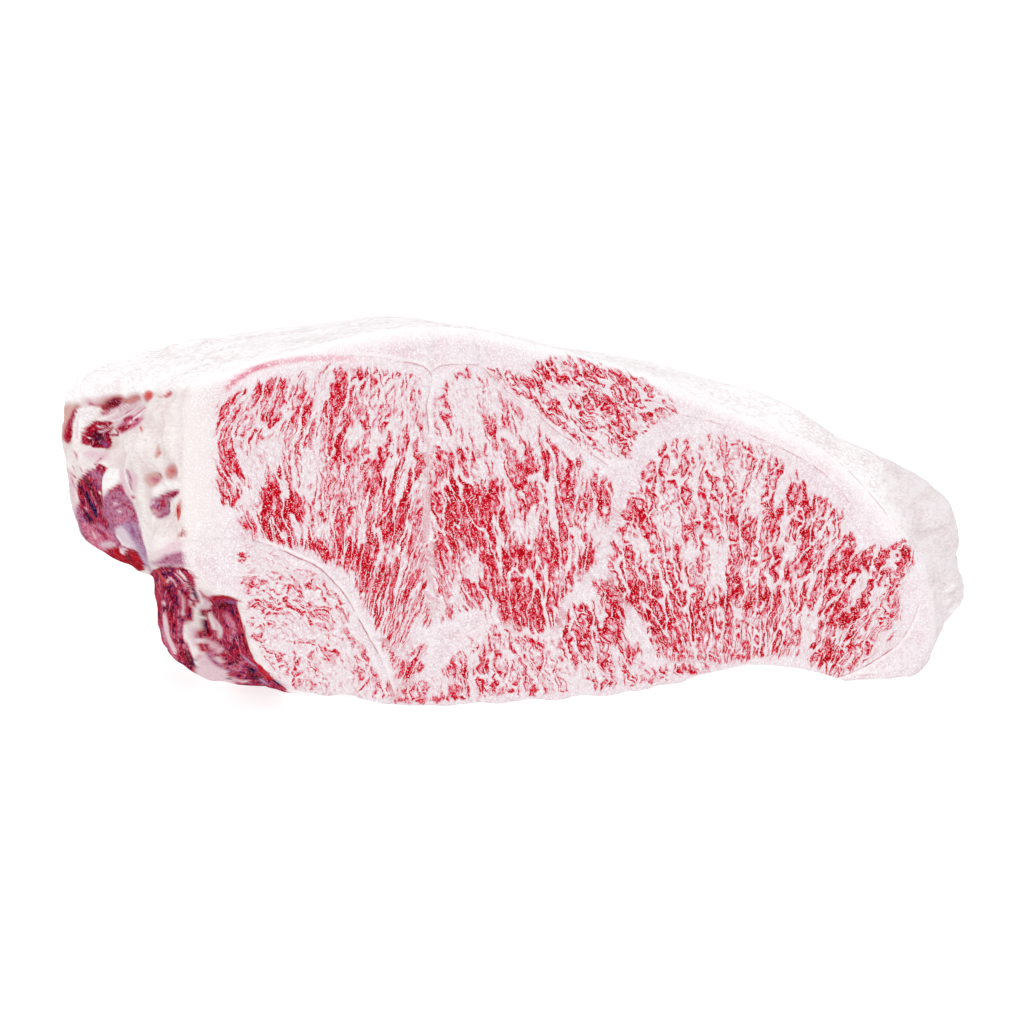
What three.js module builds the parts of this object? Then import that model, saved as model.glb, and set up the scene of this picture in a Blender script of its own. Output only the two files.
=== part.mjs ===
import * as THREE from "three";
import { mergeVertices } from "three/addons/utils/BufferGeometryUtils.js";

// A thick block of raw marbled beef sirloin, cut straight across the loin. It is one piece of flesh, so it is
// one solid: lean muscles, the seams of fat between them and the white fat cap have all grown together.
// Millimetres, +Z up. The front cut face looks along -Y. The chine side, where the backbone was cut away, is at
// -X and is ragged. The tail, the thin fatty end, is at +X. The fat cap is on top and the bone side rests below.

const DEPTH = 105; // from the front cut face to the back one
const REST_LEVEL = 0; // the flesh flattens where it lies on the table
const FACE_MIDDLE = { x: -1, z: 53, backX: -4, backZ: 48 };
const SEGMENTS = { across: 40, up: 34, deep: 18 };

// The outline of the loin, clockwise as seen from the front, starting at the chine's top corner. Each landmark
// is its place on the front cut face, [x, z], its place on the back one, [x, z], and where the flank bellies
// out between them how far, [x, z].
const LANDMARKS = [
  [-125, 109, -140.5, 96], // the chine's top corner
  [-110, 115, -125, 102],
  [-89, 120, -99, 108.5],
  [-68, 124, -72, 111.5],
  [-49, 125.5, -51, 112.5], // the crest of the fat cap
  [-31, 123.5, -32, 111.5],
  [-14, 119, -14, 109.5],
  [6, 113.5, 8, 105],
  [26, 106.5, 30, 98, 0, 1.5],
  [48, 96.5, 54, 89, 3, 5.5],
  [66, 89, 76, 79, 6, 6], // the shoulder, where the cap turns down to the tail
  [86, 79, 98, 67, 9, 4],
  [102, 66, 116, 55, 15, 6.5],
  [114, 50, 128, 42, 20.5, 7],
  [122.5, 38, 135, 29, 18.5, 6], // the tail's outer fat, pulled away from the cut
  [126, 24, 136, 18, 17.5, 3],
  [126.3, 12, 132, 8, 14, 2],
  [123, 2.5, 124, 2, 10, 0],
  [113, -0.8, 111, 0, 8, 0], // the tail's foot
  [98, -0.5, 96, -0.5],
  [83, 4.3, 82, -0.5],
  [65, 7, 64, -0.5], // the hollow that the ribs left
  [46, 4.6, 44, -0.5],
  [18, 0.5, 16, -0.5],
  [-18, 0, -18, -0.5],
  [-54, 0.6, -51, -0.5],
  [-74, 5, -74, 0, -3, -3],
  [-93, 8.6, -94, 3, -10, -4.5], // the heel of the small muscle, a bundle of which hangs out
  [-103, 17.5, -104, 11, -19, -6],
  [-107.5, 29.5, -109, 21, -18.5, -6],
  [-110, 38.5, -114, 29, -14, -1],
  [-120, 43.5, -131, 33, 0, 1], // the step under the chine fat
  [-126.5, 53, -144, 42],
  [-128, 73, -148.5, 62],
  [-127.5, 92, -149.5, 82],
];
const CORNERS = [0, 10, 18, 27, LANDMARKS.length]; // landmarks at the corners of the box that becomes the block

// Depths between which each side's belly comes out of the front rim and goes back in again.
const TAIL_BELLY = { out: [-4, 30], back: [45, 150] };
const CHINE_BELLY = { out: [16, 42], back: [60, 100] };

// Lumps and hollows of the flanks: the middle [x, z, depth behind the front face], the reach in the same
// directions, and how far the surface comes out (or, below zero, sinks in).
const RELIEF = [
  { at: [-150, 92, 82], reach: [40, 7, 34], out: 4.5 }, // the ledge of cap fat over the chine
  { at: [-135, 100, 36], reach: [40, 4, 30], out: 2.5 },
  { at: [-145, 83, 64], reach: [30, 8, 20], out: -8 }, // the hollow of a vertebra
  { at: [-139, 84, 36], reach: [30, 9, 13], out: 4 }, // lumps of fat left on the chine
  { at: [-131, 92, 8], reach: [30, 13, 4], out: 2.5 },
  { at: [-131, 54, 13], reach: [30, 9, 12], out: 6 },
  { at: [-134, 76, 24], reach: [30, 4.5, 5], out: -4.5 }, // pits between the lumps
  { at: [-131, 80, 9], reach: [30, 3.5, 4], out: -3.5 },
  { at: [-132, 67, 16], reach: [30, 5, 8], out: -5 },
  { at: [-138, 62, 48], reach: [30, 12, 12], out: -3.5 },
  { at: [-112, 22, 28], reach: [30, 18, 4], out: -5 }, // the crease between the small muscle's bundles
  { at: [-107, 22, 14], reach: [26, 14, 9], out: 6 },
  { at: [150, 21, 34], reach: [20, 6, 13], out: 4 }, // torn fat at the tail's end
  { at: [147, 34, 38], reach: [20, 5, 30], out: -1.5 },
];

// The groove under the ledge of cap fat, which runs down along the chine from the front to the back.
const NOTCH = { z: 105, fall: 0.2, halfWidth: 2.6, depth: 5, from: [2, 14], to: [75, 100] };

// A slow unevenness all over the flanks, as soft flesh has.
const UNEVENNESS = 1.1;

// The point of a closed run of landmarks at a place counted in landmarks, on a smooth Catmull-Rom curve.
function curvePoint(place, xColumn, zColumn) {
  const count = LANDMARKS.length;
  const first = Math.floor(place);
  const t = place - first;
  const near = [-1, 0, 1, 2].map((step) => LANDMARKS[(first + step + count) % count]);
  const along = (column) => {
    const [p0, p1, p2, p3] = near.map((landmark) => landmark[column] ?? 0);
    return (
      0.5 *
      (2 * p1 + (p2 - p0) * t + (2 * p0 - 5 * p1 + 4 * p2 - p3) * t * t + (3 * p1 - p0 - 3 * p2 + p3) * t * t * t)
    );
  };
  return new THREE.Vector2(along(xColumn), along(zColumn));
}

// How much of its belly a side has at a depth.
function bellyShare(x, depth) {
  const belly = x > 0 ? TAIL_BELLY : CHINE_BELLY;
  return THREE.MathUtils.smoothstep(depth, ...belly.out) * (1 - THREE.MathUtils.smoothstep(depth, ...belly.back));
}

// The loin's outline at a depth behind the front face, before any lump or hollow.
function sectionPoint(place, depth) {
  const front = curvePoint(place, 0, 1);
  const belly = curvePoint(place, 4, 5).multiplyScalar(bellyShare(front.x, depth));
  return front.lerp(curvePoint(place, 2, 3), depth / DEPTH).add(belly);
}

function bell(offset, reach) {
  return Math.exp(-((offset / reach) ** 2));
}

// How far the flank stands out of the plain outline at a point of it.
function relief(x, z, depth) {
  let out = 0;
  for (const lump of RELIEF) {
    out +=
      lump.out *
      bell(x - lump.at[0], lump.reach[0]) *
      bell(z - lump.at[1], lump.reach[1]) *
      bell(depth - lump.at[2], lump.reach[2]);
  }
  if (x < -100) {
    const alongNotch =
      THREE.MathUtils.smoothstep(depth, ...NOTCH.from) * (1 - THREE.MathUtils.smoothstep(depth, ...NOTCH.to));
    out -= NOTCH.depth * alongNotch * bell(z - (NOTCH.z - NOTCH.fall * depth), NOTCH.halfWidth);
  }
  const slow = Math.sin(x / 13 + 1.3) * Math.sin(z / 11 + 0.7) + Math.sin(depth / 12 + 2.1) * Math.sin(x / 17 - z / 15);
  const insideRims = Math.min(1, depth / 12, (DEPTH - depth) / 12);
  return out + UNEVENNESS * slow * Math.max(0, insideRims);
}

// A point of the finished flank.
function flankPoint(place, depth) {
  const point = sectionPoint(place, depth);
  const step = 0.05;
  const along = sectionPoint(place + step, depth).sub(sectionPoint(place - step, depth)).normalize();
  const outward = new THREE.Vector2(-along.y, along.x);
  point.addScaledVector(outward, relief(point.x, point.y, depth));
  return point;
}

// Places, counted in landmarks, that share a side of the outline out evenly by length.
function evenPlaces(from, to) {
  const samples = 400;
  const lengths = [0];
  let last = curvePoint(from, 0, 1);
  for (let i = 1; i <= samples; i += 1) {
    const point = curvePoint(from + ((to - from) * i) / samples, 0, 1);
    lengths.push(lengths[i - 1] + point.distanceTo(last));
    last = point;
  }
  return (share) => {
    const wanted = share * lengths[samples];
    let i = 1;
    while (i < samples && lengths[i] < wanted) i += 1;
    const within = (wanted - lengths[i - 1]) / (lengths[i] - lengths[i - 1]);
    return from + ((to - from) * (i - 1 + within)) / samples;
  };
}
const SIDES = [0, 1, 2, 3].map((side) => evenPlaces(CORNERS[side], CORNERS[side + 1]));

// The place on the outline of a point (a, b) on the rim of a square from -1 to 1.
function placeOnRim(a, b) {
  const edge = 1 - 1e-6;
  if (b >= edge) return SIDES[0]((a + 1) / 2);
  if (a >= edge) return SIDES[1]((1 - b) / 2);
  if (b <= -edge) return SIDES[2]((1 - a) / 2);
  return SIDES[3]((b + 1) / 2);
}

// The muscles swell a little out of a cut face and the seams of fat between them lie lower.
function faceSwell(x, z) {
  return 0.8 * Math.sin(x / 21 + 0.6) * Math.sin(z / 18 + 0.4) + 0.5 * Math.sin(x / 9 + z / 14);
}

function blockGeometry() {
  const box = new THREE.BoxGeometry(2, 2, 2, SEGMENTS.across, SEGMENTS.deep, SEGMENTS.up);
  box.deleteAttribute("normal");
  box.deleteAttribute("uv");
  const geometry = mergeVertices(box);
  const position = geometry.getAttribute("position");
  for (let i = 0; i < position.count; i += 1) {
    const a = position.getX(i);
    const c = position.getY(i);
    const b = position.getZ(i);
    const share = (c + 1) / 2;
    const depth = DEPTH * share;
    const ring = Math.max(Math.abs(a), Math.abs(b));
    const middle = new THREE.Vector2(
      THREE.MathUtils.lerp(FACE_MIDDLE.x, FACE_MIDDLE.backX, share),
      THREE.MathUtils.lerp(FACE_MIDDLE.z, FACE_MIDDLE.backZ, share),
    );
    const rim = ring > 0 ? flankPoint(placeOnRim(a / ring, b / ring), depth) : middle;
    const point = middle.clone().lerp(rim, ring);
    const outOfFace = share === 0 || share === 1 ? faceSwell(point.x, point.y) * (1 - ring ** 6) : 0;
    const y = depth - DEPTH / 2 + (share === 0 ? -outOfFace : outOfFace);
    position.setXYZ(i, point.x, y, Math.max(point.y, REST_LEVEL));
  }
  geometry.computeBoundingBox();
  const low = geometry.boundingBox.min;
  const high = geometry.boundingBox.max;
  geometry.translate(-(low.x + high.x) / 2, -(low.y + high.y) / 2, -low.z);
  return geometry;
}

const flesh = new THREE.MeshStandardMaterial({ color: 0xe3a7b0, roughness: 0.45, metalness: 0 });
const block = new THREE.Mesh(blockGeometry(), flesh);
block.name = "sirloin";

const part = new THREE.Group();
part.add(block);
export default part;
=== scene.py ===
# A thick block of raw marbled beef sirloin, cut straight across the loin and lying on its bone side.
import math

import bmesh
import bpy
import numpy as np
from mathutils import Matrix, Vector, noise


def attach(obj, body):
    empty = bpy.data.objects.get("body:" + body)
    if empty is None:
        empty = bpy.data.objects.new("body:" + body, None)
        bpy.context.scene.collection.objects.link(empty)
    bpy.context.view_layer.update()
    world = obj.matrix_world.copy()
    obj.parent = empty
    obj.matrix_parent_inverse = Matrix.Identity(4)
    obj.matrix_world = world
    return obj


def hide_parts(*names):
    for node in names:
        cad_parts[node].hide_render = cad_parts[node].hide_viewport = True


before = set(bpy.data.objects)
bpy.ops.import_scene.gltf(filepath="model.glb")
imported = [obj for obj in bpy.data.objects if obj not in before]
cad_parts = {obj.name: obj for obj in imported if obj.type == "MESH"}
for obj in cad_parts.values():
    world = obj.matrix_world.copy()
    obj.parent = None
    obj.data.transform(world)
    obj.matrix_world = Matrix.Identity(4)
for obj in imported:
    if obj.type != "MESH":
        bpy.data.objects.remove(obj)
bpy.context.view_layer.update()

# ---------------------------------------------------------------------------------------------------
# The camera: a long lens, a little above the block and to the left of the front cut face, so that the
# chine side shows as well.
AZIMUTH = math.radians(-15)
ELEVATION = math.radians(11)
DISTANCE = 1.4
LOOK_AT = Vector((-0.0055, 0, 0.053))
LENS = 146.3
SENSOR_WIDTH = 36

towards_camera = Vector(
    (
        math.sin(AZIMUTH) * math.cos(ELEVATION),
        -math.cos(AZIMUTH) * math.cos(ELEVATION),
        math.sin(ELEVATION),
    )
)
camera_data = bpy.data.cameras.new("camera")
camera_data.sensor_width = SENSOR_WIDTH
camera_data.lens = LENS
camera = bpy.data.objects.new("camera", camera_data)
camera.location = LOOK_AT + towards_camera * DISTANCE
camera.rotation_euler = towards_camera.to_track_quat("Z", "Y").to_euler()
bpy.context.scene.collection.objects.link(camera)
bpy.context.scene.camera = camera

# ---------------------------------------------------------------------------------------------------
# The block: one thick piece of flesh from the loin, with its white fat cap on top, the ragged chine side
# on the left, where the backbone was cut away, and the thin fatty tail on the right. Its shape is built
# in millimetres, with depth counted from the front cut face to the back one.
DEPTH = 105
CENTRE_SHIFT = 0.488
FACE_MIDDLE = np.array([-1, 53])
BACK_MIDDLE = np.array([-4, 48])

# The block starts as a cube of cells, just under 200,000 triangles in all. They crowd towards the front cut
# face, and on the chine side towards its top: shares of its rows, and of the side's length that they reach.
SEGMENTS = {"x": 104, "z": 165, "y": 122}
FRONT_CROWDING = 0.5
CHINE_ROWS = ((0, 0.6, 0.95, 1), (0, 0.73, 0.965, 1))

# The outline of the loin, clockwise from the chine's top corner: x and z on the front cut face, x and z
# on the back one, and how far the flank bellies out between them.
LANDMARKS = np.array(
    [
        (-125, 109, -140.5, 96, 0, 0),
        (-110, 115, -125, 102, 0, 0),
        (-89, 120, -99, 108.5, 0, 0),
        (-68, 124, -72, 111.5, 0, 0),
        (-49, 125.5, -51, 112.5, 0, 0),
        (-31, 123.5, -32, 111.5, 0, 0),
        (-14, 119, -14, 109.5, 0, 0),
        (6, 113.5, 8, 105, 0, 0),
        (26, 106.5, 30, 98, 0, 1.5),
        (48, 96.5, 54, 89, 3, 5.5),
        (66, 89, 76, 79, 6, 6),
        (86, 79, 98, 67, 9, 4),
        (102, 66, 116, 55, 15, 6.5),
        (114, 50, 128, 42, 20.5, 7),
        (122.5, 38, 135, 29, 18.5, 6),
        (126, 24, 136, 18, 17.5, 3),
        (126.3, 12, 132, 8, 14, 2),
        (123, 2.5, 124, 2, 10, 0),
        (113, -0.8, 111, 0, 8, 0),
        (98, -0.5, 96, -0.5, 0, 0),
        (83, 4.3, 82, -0.5, 0, 0),
        (65, 7, 64, -0.5, 0, 0),
        (46, 4.6, 44, -0.5, 0, 0),
        (18, 0.5, 16, -0.5, 0, 0),
        (-18, 0, -18, -0.5, 0, 0),
        (-54, 0.6, -51, -0.5, 0, 0),
        (-74, 5, -74, 0, -3, -3),
        (-93, 8.6, -94, 3, -10, -4.5),
        (-103, 17.5, -104, 11, -19, -6),
        (-107.5, 29.5, -109, 21, -18.5, -6),
        (-110, 38.5, -114, 29, -14, -1),
        (-120, 43.5, -131, 33, 0, 1),
        (-126.5, 53, -144, 42, 0, 0),
        (-128, 73, -148.5, 62, 0, 0),
        (-127.5, 92, -149.5, 82, 0, 0),
    ]
)

# Landmarks at the corners of the cube that becomes the block, and the depths between which each side's belly
# comes out of the front rim and goes back in again.
CORNERS = (0, 10, 18, 27, 35)
TAIL_BELLY = {"out": (-4, 30), "back": (45, 150)}
CHINE_BELLY = {"out": (16, 42), "back": (60, 100)}

# Lumps and hollows of the flanks: the middle (x, z, depth), the reach and how far the surface comes out. The
# notch is the groove under the ledge of cap fat on the chine side. It falls as it runs back.
RELIEF = (
    ((-150, 92, 82), (40, 7, 34), 4.5),
    ((-135, 100, 36), (40, 4, 30), 2.5),
    ((-145, 83, 64), (30, 8, 20), -8),
    ((-139, 84, 36), (30, 9, 13), 4),
    ((-131, 92, 8), (30, 13, 4), 2.5),
    ((-131, 54, 13), (30, 9, 12), 6),
    ((-134, 76, 24), (30, 4.5, 5), -4.5),
    ((-131, 80, 9), (30, 3.5, 4), -3.5),
    ((-132, 67, 16), (30, 5, 8), -5),
    ((-138, 62, 48), (30, 12, 12), -3.5),
    ((-112, 22, 28), (30, 18, 4), -5),
    ((-107, 22, 14), (26, 14, 9), 6),
    ((150, 21, 34), (20, 6, 13), 4),
    ((147, 34, 38), (20, 5, 30), -1.5),
)
NOTCH = {"z": 105, "fall": 0.2, "half_width": 2.6, "depth": 3.5, "from": (2, 14), "to": (75, 100)}
UNEVENNESS = 1.1
RIM_CALM = 12  # how far behind a cut the slow unevenness reaches its full size
FACE_SWELL = 0.8
FACE_RIPPLE = 0.5


def smooth_step(value, low, high):
    t = np.clip((value - low) / (high - low), 0, 1)
    return t * t * (3 - 2 * t)


def bell(offset, reach):
    return np.exp(-((offset / reach) ** 2))


def curve_points(points, places):
    """Points of a smooth closed curve through the given ones, at places counted in points."""
    first = np.floor(places).astype(int)
    t = (places - first)[:, None]
    before, start, end, after = (points[(first + step) % len(points)] for step in (-1, 0, 1, 2))
    return 0.5 * (
        2 * start
        + (end - before) * t
        + (2 * before - 5 * start + 4 * end - after) * t**2
        + (3 * start - before - 3 * end + after) * t**3
    )


def section_points(places, depth):
    """The loin's outline at a depth behind the front face, before any lump or hollow."""
    front = curve_points(LANDMARKS[:, 0:2], places)
    back = curve_points(LANDMARKS[:, 2:4], places)
    belly = curve_points(LANDMARKS[:, 4:6], places)
    share = np.where(
        front[:, 0] > 0,
        smooth_step(depth, *TAIL_BELLY["out"]) * (1 - smooth_step(depth, *TAIL_BELLY["back"])),
        smooth_step(depth, *CHINE_BELLY["out"]) * (1 - smooth_step(depth, *CHINE_BELLY["back"])),
    )
    return front + (back - front) * (depth / DEPTH)[:, None] + belly * share[:, None]


def relief(x, z, depth):
    out = np.zeros_like(x)
    for middle, reach, height in RELIEF:
        across = bell(x - middle[0], reach[0]) * bell(z - middle[1], reach[1])
        out += height * across * bell(depth - middle[2], reach[2])
    along = smooth_step(depth, *NOTCH["from"]) * (1 - smooth_step(depth, *NOTCH["to"]))
    notch = NOTCH["depth"] * along * bell(z - (NOTCH["z"] - NOTCH["fall"] * depth), NOTCH["half_width"])
    out -= np.where(x < -100, notch, 0)
    slow = np.sin(x / 13 + 1.3) * np.sin(z / 11 + 0.7) + np.sin(depth / 12 + 2.1) * np.sin(x / 17 - z / 15)
    inside_rims = np.clip(np.minimum(depth, DEPTH - depth) / RIM_CALM, 0, 1)
    return out + UNEVENNESS * slow * inside_rims


def flank_points(places, depth):
    points = section_points(places, depth)
    along = section_points(places + 0.05, depth) - section_points(places - 0.05, depth)
    along /= np.linalg.norm(along, axis=1)[:, None]
    outward = np.stack([-along[:, 1], along[:, 0]], axis=1)
    return points + outward * relief(points[:, 0], points[:, 1], depth)[:, None], outward


def even_places(first, last):
    """Shares of one side of the outline, from 0 to 1, as places that are even by length."""
    places = np.linspace(first, last, 401)
    points = curve_points(LANDMARKS[:, 0:2], places)
    lengths = np.concatenate([[0], np.cumsum(np.linalg.norm(np.diff(points, axis=0), axis=1))])
    return lambda share: np.interp(share * lengths[-1], lengths, places)


def rim_places(a, b):
    """Places on the outline of points on the rim of a square from -1 to 1."""
    top, right, bottom, left = (even_places(CORNERS[side], CORNERS[side + 1]) for side in range(4))
    edge = 1 - 1e-6
    chine_rows = np.interp((b + 1) / 2, *CHINE_ROWS)
    return np.select(
        [b >= edge, a >= edge, b <= -edge],
        [top((a + 1) / 2), right((1 - b) / 2), bottom((1 - a) / 2)],
        left(chine_rows),
    )


block_mesh = bpy.data.meshes.new("sirloin_flesh")
form = bmesh.new()
bmesh.ops.create_cube(form, size=2)
for axis, segments in SEGMENTS.items():
    index = "xyz".index(axis)
    across = [e for e in form.edges if abs(e.verts[0].co[index] - e.verts[1].co[index]) > 1]
    bmesh.ops.subdivide_edges(form, edges=across, cuts=segments - 1, use_grid_fill=True)
CUT_FACE = 0
FLANK = 1
for face in form.faces:
    face.material_index = CUT_FACE if abs(face.calc_center_median().y) > 1 - 1e-6 else FLANK
    face.smooth = True
form.to_mesh(block_mesh)
form.free()

cube = np.empty(len(block_mesh.vertices) * 3)
block_mesh.vertices.foreach_get("co", cube)
cube_x, cube_y, cube_z = cube.reshape(-1, 3).T
share = (cube_y + 1) / 2
share -= FRONT_CROWDING * share * (1 - share)
depth = DEPTH * share
ring = np.maximum(np.abs(cube_x), np.abs(cube_z))
ring_safe = np.maximum(ring, 1e-9)
places = rim_places(cube_x / ring_safe, cube_z / ring_safe)
is_front = share < 1e-6
is_back = share > 1 - 1e-6
is_flank = ring > 1 - 1e-6

rim, outward = flank_points(places, depth)
middle = FACE_MIDDLE + (BACK_MIDDLE - FACE_MIDDLE) * share[:, None]
section = middle + (rim - middle) * ring[:, None]
front_rim, _ = flank_points(places, np.zeros_like(depth))
loin = FACE_MIDDLE + (front_rim - FACE_MIDDLE) * ring[:, None]
loin[:, 0] += CENTRE_SHIFT
swell = FACE_SWELL * np.sin(section[:, 0] / 21 + 0.6) * np.sin(section[:, 1] / 18 + 0.4)
swell += FACE_RIPPLE * np.sin(section[:, 0] / 9 + section[:, 1] / 14)
swell *= 1 - ring**6
x = section[:, 0] + CENTRE_SHIFT
z = np.maximum(section[:, 1], 0)
y = depth - DEPTH / 2 - np.where(is_front, swell, 0) + np.where(is_back, swell, 0)

# The edges of the cut faces are soft and uneven. They drop back, with small teeth, over a share of the face
# and over some mm of the flank, and draw in by a part of that drop.
EDGE_SPAN = 0.05
EDGE_REACH = 7
EDGE_DROP = 1.8
EDGE_TEETH = 0.8
EDGE_INSET = 0.4
edge_wave = np.array([0.5 + noise.noise(Vector((px / 9, pz / 9, 0))) for px, pz in loin])
edge_drop = EDGE_DROP * np.clip(edge_wave, 0.15, 1)
edge_drop += EDGE_TEETH * np.array([abs(noise.noise(Vector((px / 2, pz / 1.5, 7)))) for px, pz in loin])
edge_share = np.clip((ring - 1 + EDGE_SPAN) / EDGE_SPAN, 0, 1) ** 2
from_edge = np.minimum(depth, DEPTH - depth)
edge_share = np.where(is_flank, np.clip(1 - from_edge / EDGE_REACH, 0, 1) ** 2, edge_share)
y += edge_drop * edge_share * np.where(share < 0.5, 1, -1)
x -= outward[:, 0] * edge_drop * edge_share * EDGE_INSET
z -= outward[:, 1] * edge_drop * edge_share * EDGE_INSET

# ---------------------------------------------------------------------------------------------------
# The muscles of the cut: each is a bundle of lean fibres inside its own skin, with fat between them.
# An outline is in mm on the front cut face. Fibres run as rays from a focus far off, or in rings round
# one, and rays from two foci meet at a height. Curl is how far the fibres wander, celled is how short and
# round the bundles are, and density is how much lean there is among the marbling.
MUSCLES = {
    "long_eye_upper": {
        "outline": [(-115, 102), (-111, 105), (-104, 108), (-92, 110.5), (-79, 112.5), (-68, 112), (-57, 110),
                    (-50, 107), (-50, 95), (-49, 84), (-50, 72), (-49, 59), (-48, 49), (-48, 36), (-47, 27),
                    (-52, 32), (-55, 23), (-58, 20), (-62, 24), (-67, 33), (-71, 41), (-75, 48), (-82, 52),
                    (-89, 56), (-93, 56), (-99, 58), (-107, 60), (-109, 65), (-108, 69), (-113, 71),
                    (-116, 77), (-116, 84), (-115, 95)],
        "rays": [(-52, 230), (-80, -30)],
        "meet": 91,
        "curl": 0.2,
        "celled": 0.25,
        "density": 0.0,
    },
    "long_eye_tip": {
        "outline": [(-63, 24), (-60, 18), (-57, 9), (-53, 12), (-49, 15), (-49, 21), (-53, 20), (-56, 16)],
        "rays": [(-90, -60)],
        "curl": 0.2,
        "celled": 0.2,
        "density": 0.1,
    },
    "middle": {
        "outline": [(-45, 101), (-43, 107), (-38, 109), (-32, 110), (-26, 105), (-20, 99), (-12, 92),
                    (-7, 87), (-1, 82), (5, 78), (11, 73), (14, 68), (14, 61), (11, 56), (9, 51), (8, 46),
                    (3, 40), (-1, 37), (-4, 32), (-5, 26), (-15, 24), (-24, 28), (-34, 33), (-40, 29),
                    (-44, 32), (-45, 46), (-46, 59), (-47, 72), (-46, 87)],
        "rays": [(15, -130), (13, -150)],
        "meet": 60,
        "curl": 0.15,
        "celled": 0.1,
        "density": 0.05,
    },
    "top": {
        "outline": [(-28, 111), (-19, 109), (-14, 107), (-12, 111), (-4, 113), (10, 110), (23, 105), (32, 98),
                    (35, 94), (28, 90), (21, 85), (19, 80), (11, 81), (1, 86), (-9, 95), (-19, 102)],
        "rays": [(-215, 362)],
        "curl": 0.5,
        "celled": 1.1,
        "density": 0.05,
    },
    "tail": {
        "outline": [(14, 51), (17, 58), (20, 66), (25, 74), (32, 82), (42, 85), (56, 84), (68, 78), (76, 73),
                    (81, 66), (89, 61), (93, 56), (97, 51), (101, 45), (111, 45), (116, 47), (119, 43),
                    (117, 37), (114, 31), (114, 23), (112, 16), (107, 10), (100, 6), (91, 2), (85, 7),
                    (79, 10), (67, 11), (54, 9), (45, 11), (35, 11), (27, 18), (24, 28), (18, 32), (13, 38)],
        "rays": [(56, -65)],
        "curl": 0.2,
        "celled": 0.85,
        "density": 0.0,
    },
    "lower": {
        "outline": [(-59, 3), (-57, 7), (-49, 9), (-43, 11), (-39, 16), (-33, 22), (-25, 25), (-17, 22),
                    (-5, 20), (-2, 27), (2, 32), (7, 32), (9, 40), (13, 40), (18, 32), (18, 19), (23, 17),
                    (25, 9), (38, 10), (50, 8), (41, 6), (24, 4.5), (-3, 3.5), (-34, 3), (-50, 2)],
        "rays": [(-70, 230)],
        "curl": 0.4,
        "celled": 0.7,
        "density": -0.1,
    },
    "small": {
        "outline": [(-108, 57), (-99, 53), (-90, 48), (-81, 43), (-76, 37), (-74, 28), (-69, 21), (-65, 14),
                    (-60, 5), (-75, 5), (-86, 8), (-95, 12), (-102, 21), (-107, 30), (-107, 39), (-109, 48)],
        "rings": (-116, 0),
        "curl": 0.5,
        "celled": 0.5,
        "density": -0.25,
    },
}

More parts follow.
